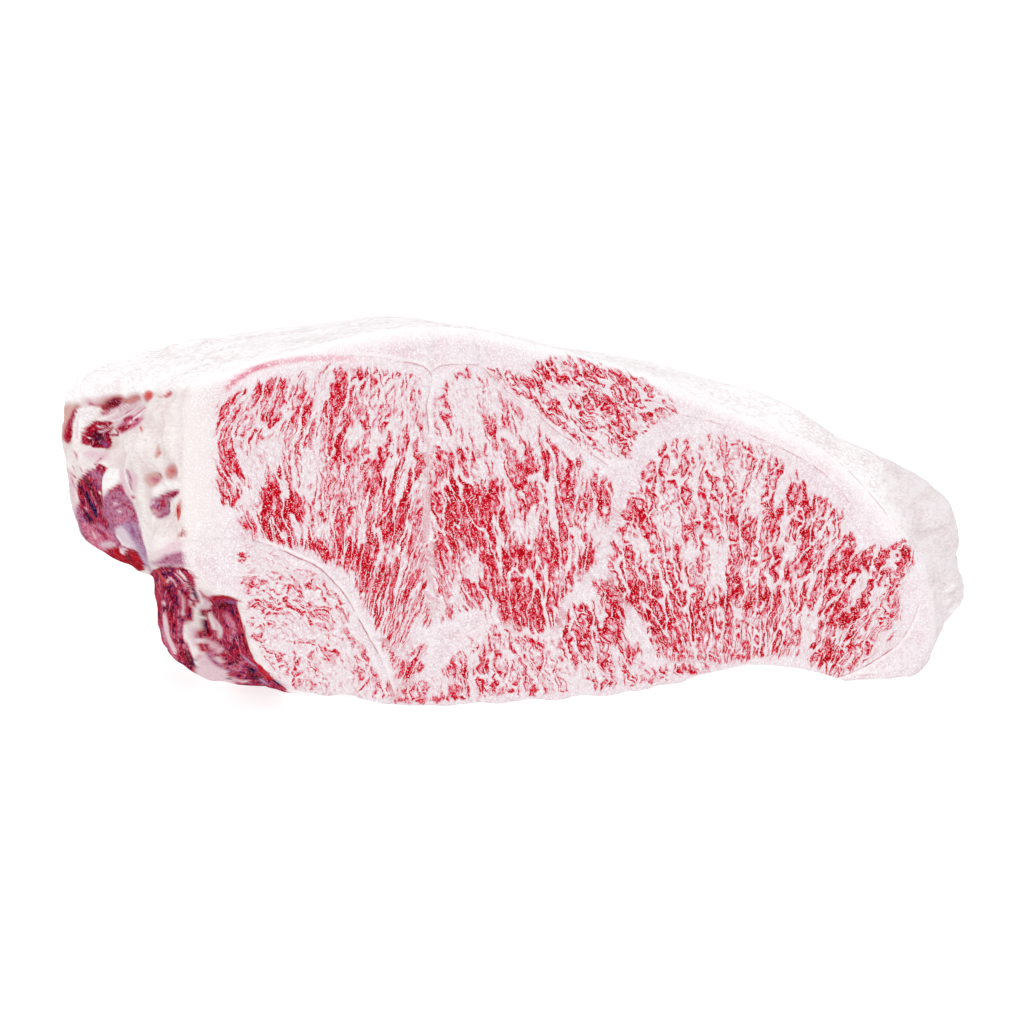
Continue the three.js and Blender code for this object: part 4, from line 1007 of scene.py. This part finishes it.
# The torn surface: fibres that run back along the loin, and pits, much deeper on the chine side.
FIBRE_HEIGHT = 0.35
PIT_HEIGHT = 1.2
RISE_LIMITS = (-3, 2)
CHINE_EDGE = (-100, -88)
CALM_SHARE = 0.3
chine = 1 - smooth_step(x, *CHINE_EDGE)
rough = np.zeros(len(x))
for i in np.flatnonzero(is_flank):
    spot = Vector((x[i], z[i], depth[i]))
    wild = CALM_SHARE + (1 - CALM_SHARE) * chine[i]
    pits = noise.fractal(spot / 9, 1.1, 2.0, 2)
    fibres = noise.noise(Vector((x[i] / 4, z[i] / 3, depth[i] / 16)))
    rough[i] = wild * (PIT_HEIGHT * pits + FIBRE_HEIGHT * fibres)
rough += np.clip(rise, *RISE_LIMITS)

# Folds of the tail's fat outside: creases and torn flakes, each with its place (z, depth), its reach and how
# far it stands out. Fine wrinkles lie between them.
TAIL_FOLDS = [
    ((47.5, 13), (1.1, 9), -1.8), ((27, 14), (0.9, 4), 2.2), ((23, 13), (1.0, 3), 1.8),
    ((19, 19), (1.0, 3.5), 2.0), ((36, 26), (1.2, 7), -1.3), ((58, 20), (1.3, 12), -1.0),
    ((13, 9), (1.4, 5), -1.4), ((25, 17), (0.7, 4), -1.2), ((66, 14), (1.2, 12), -0.9),
    ((31, 8), (1.0, 5), -0.8),
]
FOLD_HEIGHT = 0.7
WRINKLE = {"rise": 0.4, "depth": 1.6}
near_end = smooth_step(x, 100, 114)
folds = np.zeros(len(x))
for middle, reach, height in TAIL_FOLDS:
    folds += height * bell(z - middle[0], reach[0]) * bell(depth - middle[1], reach[1])
for i in np.flatnonzero(is_flank & (near_end > 0)):
    wrinkle = noise.noise(Vector((x[i] / 12, z[i] / 3, depth[i] / 11)))
    folds[i] += WRINKLE["rise"] - WRINKLE["depth"] * abs(wrinkle)
folds *= near_end
rough += FOLD_HEIGHT * folds

# All of it dies away at the rims of the cuts and at the foot.
rough *= smooth_step(np.minimum(depth, DEPTH - depth), 0, 5)
rough *= smooth_step(z, 0.5, 4)
x += outward[:, 0] * rough
z = np.maximum(z + outward[:, 1] * rough, 0)

# The fat outside is whiter on the cap than on the chine, a little greyer on the tail, and painted darker in
# hollows and creases, as shade. The marks of the chine side go over it, with how fibrous they are in the
# fourth number.
CAP_FAT = np.array(shade(251, 248, 249))
TAIL_FAT = np.array(shade(234, 227, 229))
# The colour of the painted shade in hollows and creases, and how much of it the tail's creases get.
HOLLOW_SHADE = np.array(shade(222, 208, 206))
CAP_SHEET_PINK = np.array(shade(214, 120, 142))
CREASE_SHADE_SHARE = 0.45
above_notch = z - (NOTCH["z"] - NOTCH["fall"] * depth)
on_cap = 1 - chine * (1 - smooth_step(above_notch, 1, 6))
on_tail = smooth_step(x, 104, 122) * (1 - smooth_step(z, 60, 85))
paint = np.empty((len(x), 4))
paint[:] = shade(*CHINE_SHADES["fat"][:3])
paint += (CAP_FAT - paint) * on_cap[:, None]
paint += (TAIL_FAT - paint) * on_tail[:, None]
paint += (CAP_FAT - paint) * (smooth_step(folds, 0.3, 1.2) * is_flank)[:, None]
# Painted shade: the fat is darkened in the chine side's hollows and in the tail's creases.
painted_hollow_shade = chine * (1 - on_cap) * smooth_step(-rough, -0.6, 1.2)
painted_hollow_shade = np.maximum(painted_hollow_shade, CREASE_SHADE_SHARE * smooth_step(-folds, 0.1, 1.6) * is_flank)
paint += (HOLLOW_SHADE - paint) * painted_hollow_shade[:, None]
paint[cut] += (CAP_SHEET_PINK - paint[cut]) * cap_sheet[:, None]
paint[:, 3] = 0
# Among the marks, the brownish pit colours paint shade into pits and into the crevice under the ledge.
for number, close, inside in marks_at(np.stack([x, y, z], axis=1)[on_chine]):
    name, soft, _, _ = CHINE_MARKS[number]
    red, green, blue, fibrous = CHINE_SHADES[name]
    mark = np.array(shade(red, green, blue)[:3] + (fibrous,))
    here = on_chine[close]
    paint[here] += (mark - paint[here]) * smooth_step(inside, -soft / 2, soft / 2)[:, None]

# Blender measures in metres.
MM = 0.001
block_mesh.vertices.foreach_set("co", (np.stack([x, y, z], axis=1) * MM).ravel())
block_mesh.update()


def add_attribute(name, kind, field, values):
    attribute = block_mesh.attributes.new(name, kind, "POINT")
    attribute.data.foreach_set(field, np.ascontiguousarray(values, dtype=np.float32).ravel())


def over_block(values, elsewhere):
    whole = np.full((len(x),) + values.shape[1:], elsewhere, dtype=float)
    whole[cut] = values
    return whole


add_attribute("lean", "FLOAT", "value", over_block(lean, -20))
add_attribute("grain", "FLOAT_COLOR", "color", over_block(grain, 0))
add_attribute("leanness", "FLOAT", "value", over_block(density, 0))
add_attribute("rim_fat", "FLOAT", "value", over_block(rim_fat, 1))
add_attribute("seams", "FLOAT_COLOR", "color", over_block(seams, 0))
add_attribute("chine", "FLOAT_COLOR", "color", paint)


def node(tree, kind, inputs=None, **settings):
    """A new node. Each of its inputs gets a link where the value is another node's socket."""
    made = tree.nodes.new("ShaderNode" + kind)
    for name, value in settings.items():
        setattr(made, name, value)
    for socket, value in (inputs or {}).items():
        if isinstance(value, bpy.types.NodeSocket):
            tree.links.new(value, made.inputs[socket])
        else:
            made.inputs[socket].default_value = value
    return made


def sums(tree, operation, *values, clamp=False):
    return node(tree, "Math", dict(enumerate(values)), operation=operation, use_clamp=clamp).outputs[0]


def vector_sums(tree, operation, *values):
    return node(tree, "VectorMath", dict(enumerate(values)), operation=operation).outputs[0]


def scaled(tree, vector, factor):
    return node(tree, "VectorMath", {"Vector": vector, "Scale": factor}, operation="SCALE").outputs[0]


def step_between(tree, value, low, high, full=1.0):
    inputs = {"Value": value, "From Min": low, "From Max": high, "To Max": full}
    return node(tree, "MapRange", inputs, interpolation_type="SMOOTHSTEP").outputs[0]


def noise_of(tree, vector, scale, detail=2.0, dimensions="3D"):
    inputs = {"Vector": vector, "Scale": scale, "Detail": detail}
    return node(tree, "TexNoise", inputs, noise_dimensions=dimensions)


def falling_step(tree, value, low, high):
    return sums(tree, "SUBTRACT", 1.0, step_between(tree, value, low, high))


def blend(tree, amount, first, second):
    return node(tree, "Mix", {0: amount, 6: first, 7: second}, data_type="RGBA").outputs[2]


def new_group(name, inputs, outputs):
    """A new node group: its tree, the sockets that lead into it and those that lead out."""
    tree = bpy.data.node_groups.new(name, "ShaderNodeTree")
    for label, kind in inputs.items():
        tree.interface.new_socket(label, in_out="INPUT", socket_type="NodeSocket" + kind)
    for label, kind in outputs.items():
        tree.interface.new_socket(label, in_out="OUTPUT", socket_type="NodeSocket" + kind)
    return tree, tree.nodes.new("NodeGroupInput").outputs, tree.nodes.new("NodeGroupOutput").inputs


def use_group(tree, group, inputs):
    return node(tree, "Group", inputs, node_tree=group).outputs


# Marbling, as a node group: how much lean shows at a spot, from 0 for white fat to 1 for solid red.
marbling, into, out = new_group(
    "marbling",
    {"Place": "Vector", "Grain": "Vector", "Celled": "Float", "Lean": "Float", "Density": "Float"},
    {"Tone": "Float", "Muscle": "Float", "Height": "Float"},
)
t = marbling
place = into["Place"]
density_here = into["Density"]
curl = node(t, "SeparateXYZ", {0: into["Grain"]}).outputs[2]
celled = into["Celled"]
slow = vector_sums(t, "SUBTRACT", noise_of(t, place, 0.11).outputs["Color"], (0.5, 0.5, 0.5))
quick = vector_sums(t, "SUBTRACT", noise_of(t, place, 0.45).outputs["Color"], (0.5, 0.5, 0.5))
slow = scaled(t, slow, sums(t, "MULTIPLY_ADD", curl, 9.0, 2.5))
quick = scaled(t, quick, sums(t, "MULTIPLY_ADD", curl, 3.5, 1.1))
fibre = vector_sums(t, "MULTIPLY", into["Grain"], (1, 1, 0))
fibre = vector_sums(t, "ADD", vector_sums(t, "ADD", fibre, slow), quick)


def fibre_noise(across, along, detail):
    drawn = vector_sums(t, "MULTIPLY", fibre, (1 / across, 1 / along, 0))
    return noise_of(t, drawn, 1.0, detail, "2D").outputs[0]


def off_middle(value, factor):
    return sums(t, "MULTIPLY", sums(t, "SUBTRACT", value, 0.5), factor)


def spread(value, low, high):
    return node(t, "MapRange", {"Value": value, "From Min": low, "From Max": high}).outputs[0]


# Bundles of fibres, with fat between them and the reddest lean round their rims.
serration = noise_of(t, place, 1.7, 1.0).outputs[0]
serration = off_middle(serration, sums(t, "MULTIPLY_ADD", celled, -0.4, 0.9))
serration = node(t, "CombineXYZ", {0: serration}).outputs[0]
fibre = vector_sums(t, "ADD", fibre, serration)
bundle_across = sums(t, "MULTIPLY_ADD", celled, 0.14, 0.22)
bundle_along = sums(t, "MULTIPLY_ADD", celled, 0.11, 0.045)
bundle_scale = node(t, "CombineXYZ", {0: bundle_across, 1: bundle_along}).outputs[0]
bundle_place = vector_sums(t, "MULTIPLY", fibre, bundle_scale)
bundle_cells = {"Vector": bundle_place, "Scale": 1.0}
bundle_edge = node(t, "TexVoronoi", bundle_cells, voronoi_dimensions="2D", feature="DISTANCE_TO_EDGE")
bundle = node(t, "TexVoronoi", bundle_cells, voronoi_dimensions="2D").outputs
kind = node(t, "SeparateXYZ", {0: bundle["Color"]}).outputs
regions = noise_of(t, place, 0.07, 1.0).outputs[0]
clumps = fibre_noise(4.5, 10, 1.0)
gap = sums(t, "MULTIPLY_ADD", density_here, -0.1, 0.055)
gap = sums(t, "ADD", gap, off_middle(clumps, sums(t, "MULTIPLY_ADD", celled, -0.2, 0.5)))
from_gap = sums(t, "SUBTRACT", bundle_edge.outputs["Distance"], gap)
oval = sums(t, "MULTIPLY_ADD", bundle["Distance"], -0.5, sums(t, "MULTIPLY_ADD", celled, -0.16, 0.48))
from_gap = sums(t, "SMOOTH_MIN", from_gap, oval, 0.1)
between = falling_step(t, from_gap, -0.1, 0.03)
bundle_rim = falling_step(t, from_gap, 0.03, 0.2)

# Long veins of fat along the fibres.
veins = sums(t, "ABSOLUTE", off_middle(fibre_noise(6.5, 30, 1.0), 1.0))
vein_width = sums(t, "MAXIMUM", sums(t, "MULTIPLY_ADD", density_here, -0.04, 0.035), 0.008)
veins = falling_step(t, sums(t, "DIVIDE", veins, vein_width), 0.5, 1.6)
white = sums(t, "MAXIMUM", between, veins)

# Strands of lean along the fibres, in drawn-out loops, dotted all through with finer grains of fat and with
# painted white glints, small highlights of the wet surface.
strands = sums(t, "ABSOLUTE", off_middle(fibre_noise(1.9, 12, 1.5), 1.0))
curls = sums(t, "ABSOLUTE", off_middle(fibre_noise(1.9, 4.5, 1.5), 1.0))
loops = node(t, "Mix", {0: sums(t, "MULTIPLY", curl, 2.0, clamp=True), 2: strands, 3: curls}).outputs[0]
dots = fibre_noise(0.7, 2.2, 1.0)
flecks = noise_of(t, place, 0.7, 1.0).outputs[0]
amount = sums(t, "MULTIPLY_ADD", density_here, 0.7, sums(t, "MULTIPLY_ADD", celled, -0.42, 0.28))
amount = sums(t, "MULTIPLY_ADD", loops, sums(t, "MULTIPLY_ADD", celled, 1.5, -3.8), amount)
amount = sums(t, "ADD", amount, off_middle(kind[0], 0.45))
amount = sums(t, "ADD", amount, off_middle(regions, 0.6))
amount = sums(t, "MULTIPLY_ADD", bundle_rim, sums(t, "MULTIPLY_ADD", celled, 0.55, 0.25), amount)
amount = sums(t, "ADD", amount, off_middle(dots, sums(t, "MULTIPLY_ADD", celled, -0.2, 1.7)))
amount = sums(t, "ADD", amount, off_middle(flecks, sums(t, "MULTIPLY_ADD", celled, 1.0, 0.7)))
ragged_end = off_middle(fibre_noise(1.8, 7, 2.0), 6.0)
inside = sums(t, "ADD", into["Lean"], ragged_end)
in_lean = step_between(t, inside, -2.2, 0.4)
softened = sums(t, "MULTIPLY_ADD", celled, 0.12, 1.03)
tone = sums(t, "MULTIPLY_ADD", sums(t, "DIVIDE", amount, softened), 0.625, 0.5, clamp=True)
# Painted glints: tiny white highlights of the wet surface, laid into the lean like specks of fat.
glints = step_between(t, noise_of(t, place, 2.6, 0.0).outputs[0], 0.66, 0.72)
white = sums(t, "MAXIMUM", sums(t, "MULTIPLY", white, 0.94), sums(t, "MULTIPLY", glints, 0.8))
tone = sums(t, "MULTIPLY", tone, sums(t, "SUBTRACT", 1.0, white))
tone = sums(t, "MAXIMUM", tone, spread(sums(t, "MULTIPLY_ADD", flecks, 0.5, dots), 0.6, 1.9))
t.links.new(sums(t, "MULTIPLY", tone, in_lean), out["Tone"])
t.links.new(in_lean, out["Muscle"])
t.links.new(sums(t, "MULTIPLY_ADD", tone, -0.5, dots), out["Height"])

# Wet fat, as a node group: ivory white with a faint pink bloom and fine grains.
fat_grain, into, out = new_group(
    "wet_fat",
    {"Place": "Vector", "Stretch": "Vector"},
    {"Bloom": "Float", "Creases": "Float", "Grain": "Float", "Height": "Float"},
)
t = fat_grain
drawn = vector_sums(t, "MULTIPLY", into["Place"], into["Stretch"])
cloud = noise_of(t, drawn, 0.16, 3.0).outputs[0]
grains = noise_of(t, drawn, 1.6, 2.0).outputs[0]
fine = noise_of(t, into["Place"], 1.9, 1.5).outputs[0]
bloom = sums(t, "MULTIPLY_ADD", sums(t, "SUBTRACT", grains, 0.5), 1.2, cloud)
creases = sums(t, "ABSOLUTE", sums(t, "SUBTRACT", noise_of(t, drawn, 0.4, 3.0).outputs[0], 0.5))
t.links.new(step_between(t, bloom, 0.42, 0.85), out["Bloom"])
t.links.new(falling_step(t, creases, 0.0, 0.05), out["Creases"])
t.links.new(fine, out["Grain"])
t.links.new(sums(t, "MULTIPLY_ADD", grains, 0.7, sums(t, "MULTIPLY", fine, 0.3)), out["Height"])


def new_material(name):
    material = bpy.data.materials.new(name)
    material.use_nodes = True
    tree = material.node_tree
    return material, tree, tree.nodes["Principled BSDF"]


def place_in_mm(tree):
    return scaled(tree, node(tree, "TexCoord").outputs["Object"], 1 / MM)


def attribute_of(tree, name):
    return node(tree, "Attribute", attribute_name=name).outputs


# The cut faces: red and pink lean among white marbling, seams and fat, all wet, with painted glints as
# highlights.
CUT_FAT = shade(231, 221, 225)
CUT_FAT_BLOOM = shade(224, 198, 205)
CUT_FAT_CREASE = shade(210, 190, 197)
WET_GLINT = shade(250, 250, 250)
LEAN_TONES = {
    0.0: shade(228, 218, 221),
    0.22: shade(219, 200, 205),
    0.42: shade(213, 158, 168),
    0.58: shade(208, 84, 104),
    0.7: shade(204, 6, 36),
    0.95: shade(164, 0, 12),
}
SEAM_LINE = shade(188, 122, 128)
SEAM_RIDGE_HIGHLIGHT = shade(244, 238, 239)


def colour_ramp(tree, value, stops):
    ramp = node(tree, "ValToRGB", {0: value})
    steps = ramp.color_ramp.elements
    positions = sorted(stops)
    steps[0].position = positions[0]
    steps[1].position = positions[-1]
    for position in positions[1:-1]:
        steps.new(position)
    for step, position in zip(steps, positions):
        step.color = stops[position]
    return ramp.outputs[0]


cut_face, t, flesh = new_material("beef_cut_face")
place = place_in_mm(t)
fat = use_group(t, fat_grain, {"Place": place, "Stretch": (1, 1, 1)})
fibres = attribute_of(t, "grain")
beef = use_group(
    t,
    marbling,
    {
        "Place": place,
        "Grain": fibres["Vector"],
        "Celled": fibres["Alpha"],
        "Lean": attribute_of(t, "lean")["Fac"],
        "Density": attribute_of(t, "leanness")["Fac"],
    },
)
colour = blend(t, fat["Bloom"], CUT_FAT, CUT_FAT_BLOOM)
colour = blend(t, sums(t, "MULTIPLY", fat["Creases"], 0.6), colour, CUT_FAT_CREASE)
dull = falling_step(t, fat["Grain"], 0.34, 0.5)
dullness = step_between(t, noise_of(t, place, 0.08).outputs[0], 0.4, 0.66, 0.5)
colour = blend(t, sums(t, "MULTIPLY", dull, dullness), colour, CUT_FAT_CREASE)
colour = blend(t, attribute_of(t, "rim_fat")["Fac"], colour, attribute_of(t, "chine")["Color"])
colour = blend(t, beef["Muscle"], colour, colour_ramp(t, beef["Tone"], LEAN_TONES))
# Painted glints: small white highlights of the wet surface, mostly on the fat.
glint = step_between(t, fat["Grain"], 0.54, 0.7)
glint = sums(t, "MULTIPLY", glint, sums(t, "MULTIPLY_ADD", beef["Tone"], -1.1, 0.75))
colour = blend(t, glint, colour, WET_GLINT)
lines = attribute_of(t, "seams")
line_parts = node(t, "SeparateColor", {0: lines["Color"]}).outputs
for beside, strength in ((line_parts[0], line_parts[1]), (line_parts[2], lines["Alpha"])):
    waver = sums(t, "SUBTRACT", noise_of(t, place, 0.4).outputs[0], 0.5)
    wavering = sums(t, "MULTIPLY_ADD", waver, 0.7, beside)
    near = falling_step(t, sums(t, "ABSOLUTE", wavering), 0.08, 0.34)
    near = sums(t, "MULTIPLY", near, step_between(t, noise_of(t, place, 0.12).outputs[0], 0.35, 0.6))
    # The white beside each seam line is a painted highlight along its ridge.
    ridge = step_between(t, sums(t, "ABSOLUTE", sums(t, "SUBTRACT", wavering, 0.9)), 0.9, 0.2)
    colour = blend(t, sums(t, "MULTIPLY", ridge, sums(t, "MULTIPLY", strength, 0.6)), colour, SEAM_RIDGE_HIGHLIGHT)
    colour = blend(t, sums(t, "MULTIPLY", near, strength), colour, SEAM_LINE)
t.links.new(colour, flesh.inputs["Base Color"])
wet = node(t, "MapRange", {"Value": beef["Height"], "To Min": 0.28, "To Max": 0.5}).outputs[0]
t.links.new(wet, flesh.inputs["Roughness"])
flesh.inputs["Specular IOR Level"].default_value = 0.04
bump = node(t, "Bump", {"Height": beef["Height"], "Strength": 0.35, "Distance": 0.0003})
t.links.new(bump.outputs[0], flesh.inputs["Normal"])

# The flanks: the white outside of the fat cap and tail, and the torn chine side.
FLANK_BLOOM = shade(204, 178, 182)
PALE_CRUMBS = shade(236, 214, 220)
PINK_THREADS = shade(214, 150, 168)
DARK_STRANDS = (0.74, 0.4, 0.66)  # this and the next two multiply the colour that is there
DARK_MOTTLES = (0.78, 0.3, 0.5)
DARK_CLOTS = (0.1, 0.4, 1.4)
flank, t, skin = new_material("beef_flank")
place = place_in_mm(t)
fat = use_group(t, fat_grain, {"Place": place, "Stretch": (0.3, 0.35, 1)})
chine_paint = attribute_of(t, "chine")
fibrous = chine_paint["Alpha"]


def drawn_out(scales, detail):
    """Noise that is drawn out along the axes whose scales are small."""
    return noise_of(t, vector_sums(t, "MULTIPLY", place, scales), 1.0, detail).outputs[0]


strands = drawn_out((0.9, 0.16, 1.4), 3.0)
crumbs = noise_of(t, place, 1.3, 2.0).outputs[0]
fat_bloom = sums(t, "MULTIPLY", fat["Bloom"], sums(t, "MULTIPLY_ADD", fibrous, -0.5, 0.4))
colour = blend(t, fat_bloom, chine_paint["Color"], FLANK_BLOOM)
fat_crease = sums(t, "MULTIPLY", fat["Creases"], sums(t, "MULTIPLY_ADD", fibrous, -0.22, 0.22))
colour = blend(t, fat_crease, colour, FLANK_BLOOM)
darker = vector_sums(t, "MULTIPLY", colour, DARK_STRANDS)
paler = blend(t, 0.14, colour, PALE_CRUMBS)
clotted = vector_sums(t, "MULTIPLY", colour, DARK_CLOTS)
bare = step_between(t, fibrous, 0.8, 1.0)
colour = blend(t, sums(t, "MULTIPLY", step_between(t, strands, 0.5, 0.72), fibrous), colour, darker)
colour = blend(t, sums(t, "MULTIPLY", step_between(t, crumbs, 0.5, 0.7), fibrous), colour, paler)
threads = step_between(t, drawn_out((0.8, 0.8, 0.14), 2.0), 0.55, 0.66, 0.6)
colour = blend(t, sums(t, "MULTIPLY", threads, bare), colour, PINK_THREADS)
mottles = step_between(t, drawn_out((0.9, 0.7, 1.1), 2.0), 0.48, 0.62, 0.8)
mottles = sums(t, "MULTIPLY", mottles, step_between(t, fibrous, 0.5, 0.8))
colour = blend(t, mottles, colour, vector_sums(t, "MULTIPLY", colour, DARK_MOTTLES))
clots = step_between(t, drawn_out((1.0, 0.8, 0.5), 1.0), 0.56, 0.64, 0.9)
colour = blend(t, sums(t, "MULTIPLY", clots, bare), colour, clotted)
t.links.new(colour, skin.inputs["Base Color"])
skin.inputs["Roughness"].default_value = 0.4
skin.inputs["Specular IOR Level"].default_value = 0.0
bump = node(t, "Bump", {"Height": fat["Height"], "Strength": 0.5, "Distance": 0.0006})
t.links.new(bump.outputs[0], skin.inputs["Normal"])

block_mesh.materials.append(cut_face)
block_mesh.materials.append(flank)
block = bpy.data.objects.new("sirloin_flesh", block_mesh)
bpy.context.scene.collection.objects.link(block)
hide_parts("sirloin")
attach(block, "root")

# ---------------------------------------------------------------------------------------------------
# The studio: a plain white floor that glows a little, as on a light table, and soft light from all round.
FLOOR_SIZE = 12
FLOOR_GREY = shade(150, 150, 150)
FLOOR_GLOW = 0.8
ROOM_LIGHT = 0.82
SOFTBOX_LIGHT = 0.95
SOFTBOX_WIDTH = math.radians(40)
TOWARDS_SOFTBOX = Vector((-0.25, -0.6, 0.75))
WHITE = (1, 1, 1, 1)
floor_mesh = bpy.data.meshes.new("floor")
form = bmesh.new()
bmesh.ops.create_grid(form, x_segments=1, y_segments=1, size=FLOOR_SIZE / 2)
form.to_mesh(floor_mesh)
form.free()
floor = bpy.data.objects.new("floor", floor_mesh)
bpy.context.scene.collection.objects.link(floor)
paper, t, sheet = new_material("white_floor")
sheet.inputs["Base Color"].default_value = FLOOR_GREY
sheet.inputs["Roughness"].default_value = 0.9
sheet.inputs["Emission Color"].default_value = WHITE
sheet.inputs["Emission Strength"].default_value = FLOOR_GLOW
floor_mesh.materials.append(paper)

world = bpy.data.worlds.new("studio")
world.use_nodes = True
room = world.node_tree.nodes["Background"]
room.inputs["Color"].default_value = WHITE
room.inputs["Strength"].default_value = ROOM_LIGHT
bpy.context.scene.world = world
bpy.context.scene.view_settings.view_transform = "Standard"

sun_data = bpy.data.lights.new("softbox", "SUN")
sun_data.energy = SOFTBOX_LIGHT
sun_data.angle = SOFTBOX_WIDTH
sun = bpy.data.objects.new("softbox", sun_data)
sun.rotation_euler = TOWARDS_SOFTBOX.to_track_quat("Z", "Y").to_euler()
bpy.context.scene.collection.objects.link(sun)
